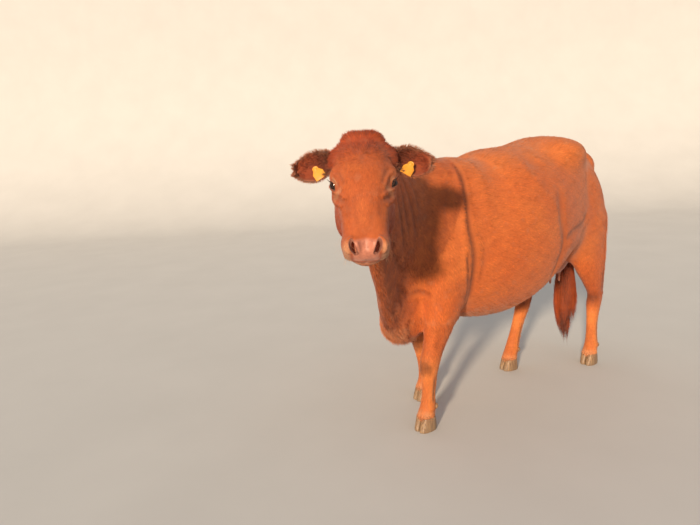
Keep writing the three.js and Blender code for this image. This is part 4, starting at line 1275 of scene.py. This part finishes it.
def makeHornLook(c):
    material, tree, shader = newMaterial("hoofHorn")
    shader.inputs["Coat Weight"].default_value = 0.12
    shader.inputs["Coat Roughness"].default_value = 0.4
    place = put(tree, "ShaderNodeTexCoord").outputs["Object"]
    upright = put(tree, "ShaderNodeVectorMath", {0: place, 1: (260, 260, 9)}, operation="MULTIPLY").outputs[0]
    streaks = noise(tree, upright, 1.0, 3)
    level = put(tree, "ShaderNodeSeparateXYZ", {0: place}).outputs[2]
    warped = sums(tree, "ADD", level, sums(tree, "MULTIPLY", noise(tree, place, 30, 2), 0.012))
    rings = put(tree, "ShaderNodeMath", {0: sums(tree, "MULTIPLY", warped, 900.0)}, operation="SINE").outputs[0]
    tone = mixed(tree, spread(tree, streaks, 0.38, 0.66), c["pale"], c["brown"])
    tone = mixed(tree, spread(tree, rings, -1, 1, 0.0, 0.22), tone, c["brown"])
    dirt = useGroup(tree, dust, {"Place": place, "Top": 0.06, "Amount": 0.75})["Mask"]
    tree.links.new(mixed(tree, dirt, tone, c["mud"]), shader.inputs["Base Color"])
    tree.links.new(spread(tree, dirt, 0, 1, 0.42, 0.85), shader.inputs["Roughness"])
    height = sums(tree, "ADD", sums(tree, "MULTIPLY", rings, 0.5), sums(tree, "MULTIPLY", streaks, 0.8))
    tree.links.new(bumped(tree, height, 0.5, 0.0012), shader.inputs["Normal"])
    return material


eyeColours = {"white": (0.10, 0.055, 0.040, 1), "iris": (0.040, 0.016, 0.007, 1), "rim": (0.012, 0.006, 0.004, 1),
              "pupil": (0.003, 0.003, 0.005, 1)}


def makeEyeLook(c):
    material, tree, shader = newMaterial("eyeball", Roughness=0.16)
    shader.inputs["Specular IOR Level"].default_value = 0.22
    shader.inputs["Coat Weight"].default_value = 0.28
    shader.inputs["Coat Roughness"].default_value = 0.03
    u, v = attribute(tree, "irisAcross"), attribute(tree, "irisUp")

    def squared(value, by):
        size = sums(tree, "ABSOLUTE", sums(tree, "MULTIPLY", value, by), 0.0)
        return sums(tree, "POWER", size, 2.0)

    ring = sums(tree, "SQRT", sums(tree, "ADD", squared(u, 1.0), squared(v, 1.12)), 0.0)
    slit = sums(tree, "SQRT", sums(tree, "ADD", squared(u, 1.0), squared(v, 2.1)), 0.0)
    turned = put(tree, "ShaderNodeCombineXYZ", {0: u, 1: v, 2: ring}).outputs[0]
    fibres = noise(tree, turned, 0.7, 4)
    iris = mixed(tree, spread(tree, fibres, 0.35, 0.7, 0, 0.8), c["iris"], c["rim"])
    iris = mixed(tree, spread(tree, ring, 9.5, 13.5), iris, c["rim"])
    tone = mixed(tree, spread(tree, slit, 7.0, 8.6), c["pupil"], iris)
    tone = mixed(tree, spread(tree, ring, 14.2, 16.4), tone, c["white"])
    tree.links.new(tone, shader.inputs["Base Color"])
    return material


tagColours = {"yellow": (0.72, 0.27, 0.012, 1), "faded": (0.78, 0.38, 0.045, 1), "grime": (0.22, 0.12, 0.045, 1)}


def makeTagLook(c):
    material, tree, shader = newMaterial("tagPlastic")
    shader.inputs["Coat Weight"].default_value = 0.15
    shader.inputs["Coat Roughness"].default_value = 0.3
    place = put(tree, "ShaderNodeTexCoord").outputs["Object"]
    faded = spread(tree, noise(tree, place, 34, 3), 0.42, 0.66, 0, 0.75)
    scuffed = put(tree, "ShaderNodeVectorMath", {0: place, 1: (700, 90, 240)}, operation="MULTIPLY").outputs[0]
    scratches = spread(tree, noise(tree, scuffed, 1.0, 4, 0.7), 0.60, 0.72)
    grime = spread(tree, noise(tree, place, 120, 4, 0.7), 0.56, 0.74, 0, 0.6)
    tone = mixed(tree, grime, mixed(tree, faded, c["yellow"], c["faded"]), c["grime"])
    tree.links.new(tone, shader.inputs["Base Color"])
    tree.links.new(spread(tree, sums(tree, "ADD", scratches, grime), 0, 1.2, 0.34, 0.68), shader.inputs["Roughness"])
    tree.links.new(bumped(tree, scratches, 0.2, 0.0006), shader.inputs["Normal"])
    return material


skinLook, coatLook, longLook = makeSkinLook(bareColours), makeHairLook("coatHair"), makeHairLook("longHair", 0.5)
hornLook, eyeLook, tagLook = makeHornLook(hornColours), makeEyeLook(eyeColours), makeTagLook(tagColours)
print("materials made")

# The skin carries the marks and the map, and stands for all the nodes of flesh.
skinUv = skinMap(placed, skinQuads)
skinMesh.uv_layers.new(name="OFBake").data.foreach_set("uv", skinUv.astype(np.float32).ravel())
for markName in ("bare", "pale", "dark", "red", "light", "foldshade"):
    setAttribute(skinMesh, markName, marks[markName])
skinMesh.materials.append(skinLook)
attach(skin, "root")
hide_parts("head", "neck", "trunk", *legs, *ears, "tail", "udder", *(f"teat_{i + 1}" for i in range(4)))
print("skin dressed")

# Short coat: density per square centimetre, length and width in millimetres, lift in radians
shortCoat = {
    "trunk": {"density": 1.95, "length": 23, "width": 2.9, "lift": 0.08, "contrast": 0.5},
    "neck": {"density": 2.4, "length": 23, "width": 2.7, "lift": 0.10, "contrast": 0.6},
    "head": {"density": 9.2, "length": 12.5, "width": 1.5, "lift": 0.12, "contrast": 1.15},
    "legs": {"density": 4.6, "length": 16, "width": 1.8, "lift": 0.12, "contrast": 1.5},
    "tail": {"density": 5.0, "length": 26, "width": 2.2, "lift": 0.09, "contrast": 1.0},
    "ears": {"density": 7.0, "length": 11, "width": 1.4, "lift": 0.13, "contrast": 1.0},
    "udder": {"density": 0.9, "length": 7, "width": 1.1, "lift": 0.15, "contrast": 0.6},
}
inHead = headFrame(placed)
sideOfHead = np.abs(inHead[:, 0])
furry = smoothStep(marks["bare"], 0.5, 0.2) * (1 - marks["socket"])
inPart = lambda *names: np.isin(skinPart, [partIndex[name] for name in names])
partsOf = {"legs": tuple(legs), "ears": tuple(ears)}
forehead = inPart("head") * smoothStep(inHead[:, 1], 190, 60) * smoothStep(inHead[:, 2], -120, -60)
earSpot = {name: ear.local(placed).T for name, ear in ears.items()}
earSpread = {name: ears[name].middle(spot[0], spot[1])[1] for name, spot in earSpot.items()}
earFront = {name: spot[2] > ears[name].middle(spot[0], spot[1])[0] + 1 for name, spot in earSpot.items()}

offRim = np.ones(len(placed))
for name, spot in earSpot.items():
    atRim = smoothStep(np.abs(earSpread[name]), 0.78, 0.94) + smoothStep(spot[0], 130, 146)
    offRim -= inPart(name) * np.clip(atRim, 0, 1)
for coatPart, s in shortCoat.items():
    here = inPart(*partsOf.get(coatPart, (coatPart,))) * furry * offRim
    size = np.full(len(placed), float(s["length"]))
    thick = np.full(len(placed), float(s["width"]))
    if coatPart == "head":
        size += 13 * forehead + 4 * smoothStep(inHead[:, 2], -60, -130) - 4.5 * smoothStep(inHead[:, 1], 330, 440)
        thick += 0.7 * forehead - 0.4 * smoothStep(inHead[:, 1], 330, 440)
        eyeFar = np.linalg.norm(np.abs(inHead) * [1, 1, -1] - eyePlace, axis=1)
        size *= 0.55 + 0.45 * smoothStep(eyeFar, 28, 60)
        density = s["density"] * (1 + 0.7 * smoothStep(inHead[:, 1], 330, 430) - 0.45 * forehead)
    elif coatPart == "legs":
        size += 5 * smoothStep(placed[:, 2], 350, 560) - 2.5 * smoothStep(placed[:, 2], 160, 90)
        density = s["density"] * (1 - 0.35 * smoothStep(placed[:, 2], 350, 560))
    else:
        density = np.full(len(placed), s["density"])
    growHair(f"coat_{coatPart}", density * here, size, thick, s["lift"], coatLook, contrast=s["contrast"])

# Longer hair where it breaks the outline
byTrunk = inPart("trunk") * furry
legBack = np.zeros(len(placed))
for name, leg in legs.items():
    cx, _ = alongPath(leg.path, placed[:, 2])
    legBack += inPart(name) * smoothStep(placed[:, 0] - cx, 14, 34)
longHair = [
    {"name": "poll", "where": inPart("head") * smoothStep(inHead[:, 1], 74, 20) * smoothStep(inHead[:, 2], -150, -90),
     "density": 3.4, "length": 26, "width": 1.6, "lift": 0.07, "droop": 0.10, "wave": 0.09},
    {"name": "whorl", "where": forehead * np.exp(-((sideOfHead / 46) ** 2)) * smoothStep(inHead[:, 1], 210, 150),
     "density": 2.2, "length": 28, "width": 1.6, "lift": 0.12, "droop": 0.05, "wave": 0.11},
    {"name": "jaw", "where": inPart("head") * smoothStep(inHead[:, 2], -150, -195) * furry,
     "density": 1.8, "length": 20, "width": 1.6, "lift": 0.18, "droop": 0.15, "wave": 0.05},
    {"name": "dewlap", "where": inPart("neck") * smoothStep(normals[:, 2], -0.2, -0.7) + 0.8 * byTrunk
     * smoothStep(placed[:, 0], -560, -680) * smoothStep(placed[:, 2], 640, 540),
     "density": 1.2, "length": 30, "width": 2.0, "lift": 0.16, "droop": 0.3, "wave": 0.06},
    {"name": "belly", "where": byTrunk * smoothStep(normals[:, 2], -0.35, -0.85) * smoothStep(placed[:, 2], 720, 600),
     "density": 0.4, "length": 25, "width": 2.0, "lift": 0.13, "droop": 0.2, "wave": 0.05},
    {"name": "legs", "where": legBack * furry * (0.35 + 0.65 * smoothStep(placed[:, 2], 150, 110)),
     "density": 1.5, "length": 25, "width": 1.7, "lift": 0.22, "droop": 0.25, "wave": 0.05},
    {"name": "thighs", "where": byTrunk * smoothStep(placed[:, 0], 700, 790) * smoothStep(placed[:, 2], 1180, 1040),
     "density": 0.9, "length": 34, "width": 2.3, "lift": 0.2, "droop": 0.3, "wave": 0.06},
    {"name": "topline", "where": byTrunk * smoothStep(normals[:, 2], 0.93, 0.985),
     "density": 0.25, "length": 30, "width": 2.3, "lift": 0.16, "droop": 0.0, "wave": 0.05},
    {"name": "coronet", "where": inPart(*legs) * smoothStep(placed[:, 2], 104, 88) * (placed[:, 2] > 72),
     "density": 4.0, "length": 23, "width": 1.6, "lift": 0.16, "droop": 0.1, "wave": 0.04},
    {"name": "dock", "where": inPart("tail"),
     "density": 1.4, "length": 42, "width": 2.0, "lift": 0.14, "droop": 0.1, "wave": 0.05},
]
for s in longHair:
    growHair(f"long_{s['name']}", s["density"] * s["where"], s["length"], s["width"], s["lift"], coatLook,
             stations=5, droop=s["droop"], wave=s["wave"])

# Ears: a fringe round the rim that leans over the open side, and long hair inside it
earHair = {"fringe": 6.5, "fringeLength": 15, "inside": 5.0, "insideLength": 20, "width": 1.2, "lift": 0.05}
for name, ear in ears.items():
    x, y, z = earSpot[name]
    fromMiddle, here = np.abs(earSpread[name]), inPart(name)
    rim = here * np.clip(smoothStep(fromMiddle, 0.74, 0.92) + smoothStep(x, 128, 146), 0, 1)
    reach = smoothStep(x, 60, 150)
    local = np.stack([0.25 + 1.0 * reach, np.sign(y) * (1.0 - 0.75 * reach), np.full(len(x), 0.55)], 1)
    openWay = np.tile((ear.turn[2] * [ear.hand, 1, 1]) @ headTurn, (len(x), 1))
    rimWay = (unit(local) @ ear.turn * [ear.hand, 1, 1]) @ headTurn
    growHair(f"fringe_{name}", earHair["fringe"] * rim, earHair["fringeLength"], earHair["width"], earHair["lift"],
             coatLook, stations=5, droop=0.10, wave=0.07, way=rimWay, free=True, facing=openWay,
             extra={"pale": 0.06, "dark": -0.45})
    tagFar = np.linalg.norm(np.stack([x - 84, (y + 42) * 0.8]), axis=0)
    inner = here * smoothStep(tagFar, 36, 46) * earFront[name]
    inner = inner * (0.3 + 0.7 * smoothStep(fromMiddle, 0.1, 0.5)) * smoothStep(x, 146, 120)
    local = np.stack([np.full(len(x), 0.75), -0.45 * np.sign(y), np.full(len(x), 0.75)], 1)
    innerWay = (unit(local) @ ear.turn * [ear.hand, 1, 1]) @ headTurn
    growHair(f"inner_{name}", earHair["inside"] * inner, earHair["insideLength"], earHair["width"], earHair["lift"],
             coatLook, stations=5, droop=0.2, wave=0.07, way=innerWay, free=True, facing=openWay,
             extra={"red": 0.2, "pale": 0.06, "dark": -0.12})

# Lashes along the upper lid, a few whiskers on the lips and chin
lashes = {"count": 66, "length": 17, "width": 0.9}
for side in (1, -1):
    t = np.linspace(-0.92, 0.86, lashes["count"]) + rng.normal(0, 0.012, lashes["count"])
    u = lids["half"] * t
    v = lids["above"] * (1 - t**2) + 1.0
    w = np.sqrt(np.maximum(25.0**2 - u**2 - v**2, 16))
    root = eyePlace + u[:, None] * lidWay + v[:, None] * browWay + w[:, None] * gazeWay
    out = unit(0.75 * gazeWay + 0.25 * browWay + 0.5 * t[:, None] * lidWay)
    steps = np.linspace(0, 1, 5)[None, :, None]
    length = lashes["length"] * rng.uniform(0.7, 1.15, lashes["count"])[:, None, None]
    path = root[:, None] + steps * length * out[:, None] + (steps**2 - 0.9 * steps) * length * 0.55 * browWay
    path = headPoint(path * [side, 1, 1])
    zero, full = np.zeros(lashes["count"]), np.ones(lashes["count"])
    part = partOf(path[:, 0])
    half = np.tile(lashes["width"] / 2 * np.array([0, 1, 0.9, 0.6, 0]), (len(root), 1))
    addStrands(f"lashes_{'right' if side > 0 else 'left'}", path, half,
               np.tile((browWay * [side, 1, 1]) @ headTurn, (len(root), 5, 1)),
               {"dark": full, "shade": zero + 0.3, **{key: zero for key in ("bare", "pale", "red", "light", "foldshade")}},
               bakeMap(*unroll(path[:, 0], part), part), longLook, "coat")
whiskerSpot = inPart("head") * smoothStep(inHead[:, 1], 400, 440) * smoothStep(sideOfHead, 34, 56)
whiskers = {"density": 0.22, "length": 30, "width": 0.7, "lift": 0.9}
growHair("whiskers", whiskers["density"] * whiskerSpot, whiskers["length"], whiskers["width"], whiskers["lift"],
         longLook, stations=5, droop=0.15, wave=0.04, extra={"pale": 0.6, "bare": -1})

# The brush at the end of the tail: locks of long hair round a core that is painted darker as the shade inside the
# brush
brush = {"locks": 68, "hairs": 42, "stations": 9, "width": 3.1, "core": 0.56}
brushRows = smoothRows([
    [852, 107, 800, 26, 26], [854, 110, 700, 44, 40], [864, 112, 560, 66, 56], [872, 114, 400, 84, 64],
    [876, 114, 280, 80, 60], [876, 114, 170, 52, 40], [876, 114, 95, 16, 14],
], 6)[::-1]


def brushAt(z, i):
    return np.interp(z, brushRows[:, 2], brushRows[:, i])


def makeBrush(s):
    count = s["locks"] * s["hairs"]
    lock = np.repeat(np.arange(s["locks"]), s["hairs"])
    angle = (lock * 2.39996 + rng.normal(0, 0.16, count))[:, None]
    radius = (0.30 + 0.62 * np.sqrt((lock % 29) / 29.0) + rng.normal(0, 0.05, count))[:, None]
    radius = np.clip(radius, 0.1, 0.95)
    lockFoot = 100 + 270 * (1 - (lock * 0.6180339 % 1.0)) ** 1.5
    start = 812 - 330 * rng.random(count) ** 1.5
    foot = np.minimum(lockFoot + rng.normal(0, 30, count), start - 120)
    t = np.linspace(0, 1, s["stations"])[None, :]
    z = start[:, None] + (foot - start)[:, None] * t
    pinch = 1 - 0.12 * t**2
    sway = 17 * np.sin(0.9 * lock[:, None] + 8 * t) * t + 4 * np.sin(2.3 * lock[:, None] + 19 * t) * t
    x = brushAt(z, 0) + brushAt(z, 4) * radius * np.cos(angle) * pinch + sway
    y = brushAt(z, 1) + brushAt(z, 3) * radius * np.sin(angle) * pinch + sway * np.cos(lock)[:, None]
    stray = rng.normal(0, 3.2, (count, 2))
    x, y = x + stray[:, :1] * (1 - 0.7 * t), y + stray[:, 1:] * (1 - 0.7 * t)
    path = np.stack([x, y, z], -1)
    outward = unit(np.stack([np.cos(angle + 0 * t), np.sin(angle + 0 * t), 0 * z], -1))
    swell = np.sin(np.pi * np.linspace(0.02, 0.98, s["stations"]) ** 0.7)[None] ** 0.6
    half = s["width"] / 2 * swell * rng.uniform(0.6, 1.2, (count, 1))
    tone = rng.random(count) * 0.5 + 0.5 * (lock * 0.37 % 1.0)
    same = np.zeros(count)
    part = np.full(count, partIndex["tail"])
    bake = bakeMap(np.clip((path[:, 1, 2] - 60) / 1400, 0, 1), (angle[:, 0] / (2 * np.pi)) % 1.0, part)
    hairMarks = {"dark": same + 0.42 - 0.42 * (lock * 0.71 % 1.0), "red": same + 0.8, "pale": same, "light": same,
                 "foldshade": same, "bare": same, "shade": tone}
    addStrands("tail_switch", path, half, outward, hairMarks, bake, longLook, "long_hair", thick=0.7)
    rings, around = 26, 40
    z = np.linspace(806, 190, rings)
    turn = np.linspace(0, 2 * np.pi, around, endpoint=False)
    ripple = 1 + 0.07 * np.sin(9 * turn + 1.0) + 0.04 * np.sin(17 * turn)
    shrink = s["core"] * smoothStep(z, 180, 330)[:, None] * ripple
    ring = np.stack([
        brushAt(z, 0)[:, None] + brushAt(z, 4)[:, None] * shrink * np.cos(turn),
        brushAt(z, 1)[:, None] + brushAt(z, 3)[:, None] * shrink * np.sin(turn), np.repeat(z[:, None], around, 1),
    ], -1).reshape(-1, 3)
    ring = np.vstack([ring, *([brushAt(level, 0), brushAt(level, 1), level] for level in (808, 186))])
    core = meshFrom("switch_shaded_core", toFrame(ring), facesOut(ring, tubeFaces(rings, around)))
    # The core is painted darker than the locks, as painted shade inside the brush.
    for key, value in (("dark", 0.35), ("red", 0.8), ("shade", 0.4), ("tip", 0.3)):
        setAttribute(core, key, np.full(len(ring), value))
    addPiece("switch_shaded_core", core, longLook, "long_hair", "tail_brush")


makeBrush(brush)

# Eyeballs with a raised cornea; the look reads where each point lies across and up the iris.
eyeball = {"radius": eyeballRadius, "bulge": 1.7, "bulgeWidth": 0.62, "rings": 40, "around": 56}


def makeEye(side, s):
    theta = np.linspace(0.02, np.pi - 0.02, s["rings"])[:, None]
    phi = np.linspace(0, 2 * np.pi, s["around"], endpoint=False)[None]
    radius = s["radius"] + s["bulge"] * np.exp(-((theta / s["bulgeWidth"]) ** 2))
    u, v = radius * np.sin(theta) * np.cos(phi), radius * np.sin(theta) * np.sin(phi)
    w = radius * np.cos(theta) + 0 * phi
    local = np.stack([u, v, w], -1).reshape(-1, 3)
    poles = np.array([[0, 0, s["radius"] + s["bulge"]], [0, 0, -s["radius"]]])
    local = np.vstack([local, poles])
    q = eyePlace + local @ np.stack([lidWay, browWay, gazeWay])
    points = toFrame(headPoint(q * [side, 1, 1]))
    faces = facesOut(points, tubeFaces(s["rings"], s["around"]))
    name = "eye_right" if side > 0 else "eye_left"
    mesh = meshFrom(f"eyeball_{name}", points, faces)
    for key, value in (("irisAcross", local[:, 0]), ("irisUp", local[:, 1])):
        setAttribute(mesh, key, value)
    addPiece(f"eyeball_{name}", mesh, eyeLook, "eye", name)


for side in (1, -1):
    makeEye(side, eyeball)

# Claws and dewclaws: smoothed copies that keep a crisp edge round the sole
hoof = {"levels": 2, "crispFrom": 48, "crisp": 0.72}
plastic = {"bevel": 0.0011, "stud": 5.0, "ring": 9.6, "ringWidth": 1.1}


def copyOf(node):
    mesh = bpy.data.objects[node].data.copy()
    mesh.materials.clear()
    bm = bmesh.new()
    bm.from_mesh(mesh)
    bmesh.ops.remove_doubles(bm, verts=bm.verts, dist=1e-5)
    bm.to_mesh(mesh)
    bm.free()
    return mesh


def applied(mesh, name, kind, **settings):
    carrier = bpy.data.objects.new(name, mesh)
    bpy.context.scene.collection.objects.link(carrier)
    modifier = carrier.modifiers.new(kind, kind)
    for key, value in settings.items():
        setattr(modifier, key, value)
    made = bpy.data.meshes.new_from_object(carrier.evaluated_get(bpy.context.evaluated_depsgraph_get()))
    bpy.data.objects.remove(carrier)
    made.name = name
    return made


def makeClaw(node, s):
    mesh = copyOf(node)
    bm = bmesh.new()
    bm.from_mesh(mesh)
    bmesh.ops.dissolve_limit(bm, angle_limit=0.03, verts=bm.verts, edges=bm.edges)
    crease = bm.edges.layers.float.new("crease_edge")
    for edge in bm.edges:
        if len(edge.link_faces) == 2 and edge.calc_face_angle(0) > math.radians(s["crispFrom"]):
            edge[crease] = s["crisp"]
    bm.to_mesh(mesh)
    bm.free()
    mesh = applied(mesh, f"horn_{node}", "SUBSURF", levels=s["levels"], render_levels=s["levels"])
    mesh.shade_smooth()
    addPiece(f"horn_{node}", mesh, hornLook, "horn", node)


for leg in legs:
    for claw in ("claw", "dewclaw"):
        for half in "ab":
            makeClaw(f"{claw}_{leg}_{half}", hoof)
print("eyes, claws and brush made")


# A turned form on the ear's own axis: rows are radius and height above the flap.
def turnedForm(rows, around=28):
    rows = np.array(rows, float)
    angle = np.linspace(0, 2 * np.pi, around, endpoint=False)
    across, up = rows[:, :1] * np.cos(angle), rows[:, :1] * np.sin(angle)
    rings = np.stack([across, up, np.repeat(rows[:, 1:], around, 1)], -1)
    points = np.vstack([rings.reshape(-1, 3), [[0, 0, rows[0, 1]], [0, 0, rows[-1, 1]]]])
    return points, tubeFaces(len(rows), around)


tagPlace, tagStands = np.array([76, -16, -14.0]), {"front": 34, "back": -14}
for name, ear in ears.items():
    side = name[4:]
    for face, stand in tagStands.items():
        node = f"tag_{side}_{face}"
        mesh = applied(copyOf(node), f"plastic_{node}", "BEVEL", width=plastic["bevel"], segments=3,
                       limit_method="ANGLE", angle_limit=math.radians(32))
        mesh.shade_smooth()
        addPiece(f"plastic_{node}", mesh, tagLook, "tag", node)
        out = 1 if stand > 0 else -1
        r, w = plastic["ring"], plastic["ringWidth"]
        rows = [[r + w, 0.6], [r + w * 0.6, 1.9], [r, 2.2], [r - w * 0.6, 1.9], [r - w, 1.4],
                [plastic["stud"] + 0.6, 1.4], [plastic["stud"], 3.4], [plastic["stud"] - 1.2, 4.2], [1.2, 4.4]]
        points, faces = turnedForm(rows)
        points[:, 2] *= out
        points = toFrame(ear.world(points + tagPlace + [0, 0, stand]))
        addPiece(f"stud_{node}", meshFrom(f"stud_{node}", points, facesOut(points, faces)), tagLook, "tag")
print("tags made")

# A plain pale floor that turns up behind her, and a low warm key from the left of the camera
room = {"floor": (0.56, 0.55, 0.53, 1), "sky": (0.88, 0.92, 0.98, 1), "skyPower": 0.5}
sun = {"from": (-0.839, -0.545, 0.31), "power": 4.7, "softness": 5.0, "tone": (1.0, 0.80, 0.58)}


def makeRoom(r):
    profile = [(-9.0, 0.0), (9.0, 0.0)]
    turnUp = [(9.0 + 5 * math.sin(a), 5 - 5 * math.cos(a)) for a in np.linspace(0, math.pi / 2, 13)[1:]]
    profile += turnUp + [(14.0, 16.0)]
    heading = math.radians(cameraSettings["heading"])
    ahead, side = np.array([math.sin(heading), math.cos(heading)]), np.array([math.cos(heading), -math.sin(heading)])
    points = [(*(ahead * d + side * s), z) for d, z in profile for s in (-26, 26)]
    faces = [(2 * i, 2 * i + 1, 2 * i + 3, 2 * i + 2) for i in range(len(profile) - 1)]
    mesh = bpy.data.meshes.new("floor")
    mesh.from_pydata([tuple(map(float, p)) for p in points], [], faces)
    mesh.shade_smooth()
    material, tree, shader = newMaterial("paleFloor", Roughness=0.85)
    place = put(tree, "ShaderNodeTexCoord").outputs["Object"]
    shade = spread(tree, noise(tree, place, 1.4, 4), 0.3, 0.7, 0.0, 1.0)
    darker = tuple(0.95 * v for v in r["floor"][:3]) + (1,)
    tree.links.new(mixed(tree, shade, r["floor"], darker), shader.inputs["Base Color"])
    mesh.materials.append(material)
    floor = bpy.data.objects.new("floor", mesh)
    bpy.context.scene.collection.objects.link(floor)
    world = bpy.data.worlds.new("studio")
    world.use_nodes = True
    world.node_tree.nodes["Background"].inputs[0].default_value = r["sky"]
    world.node_tree.nodes["Background"].inputs[1].default_value = r["skyPower"]
    bpy.context.scene.world = world


def makeSun(s):
    light = bpy.data.lights.new("key", "SUN")
    light.energy, light.color, light.angle = s["power"], s["tone"], math.radians(s["softness"])
    lamp = bpy.data.objects.new("key", light)
    lamp.rotation_euler = (-Vector(s["from"])).to_track_quat("-Z", "Y").to_euler()
    bpy.context.scene.collection.objects.link(lamp)


makeRoom(room)
makeSun(sun)
bpy.context.scene.view_settings.view_transform = "Standard"
print("stage and lights set")

print("triangles in strands:", sum(triangles))
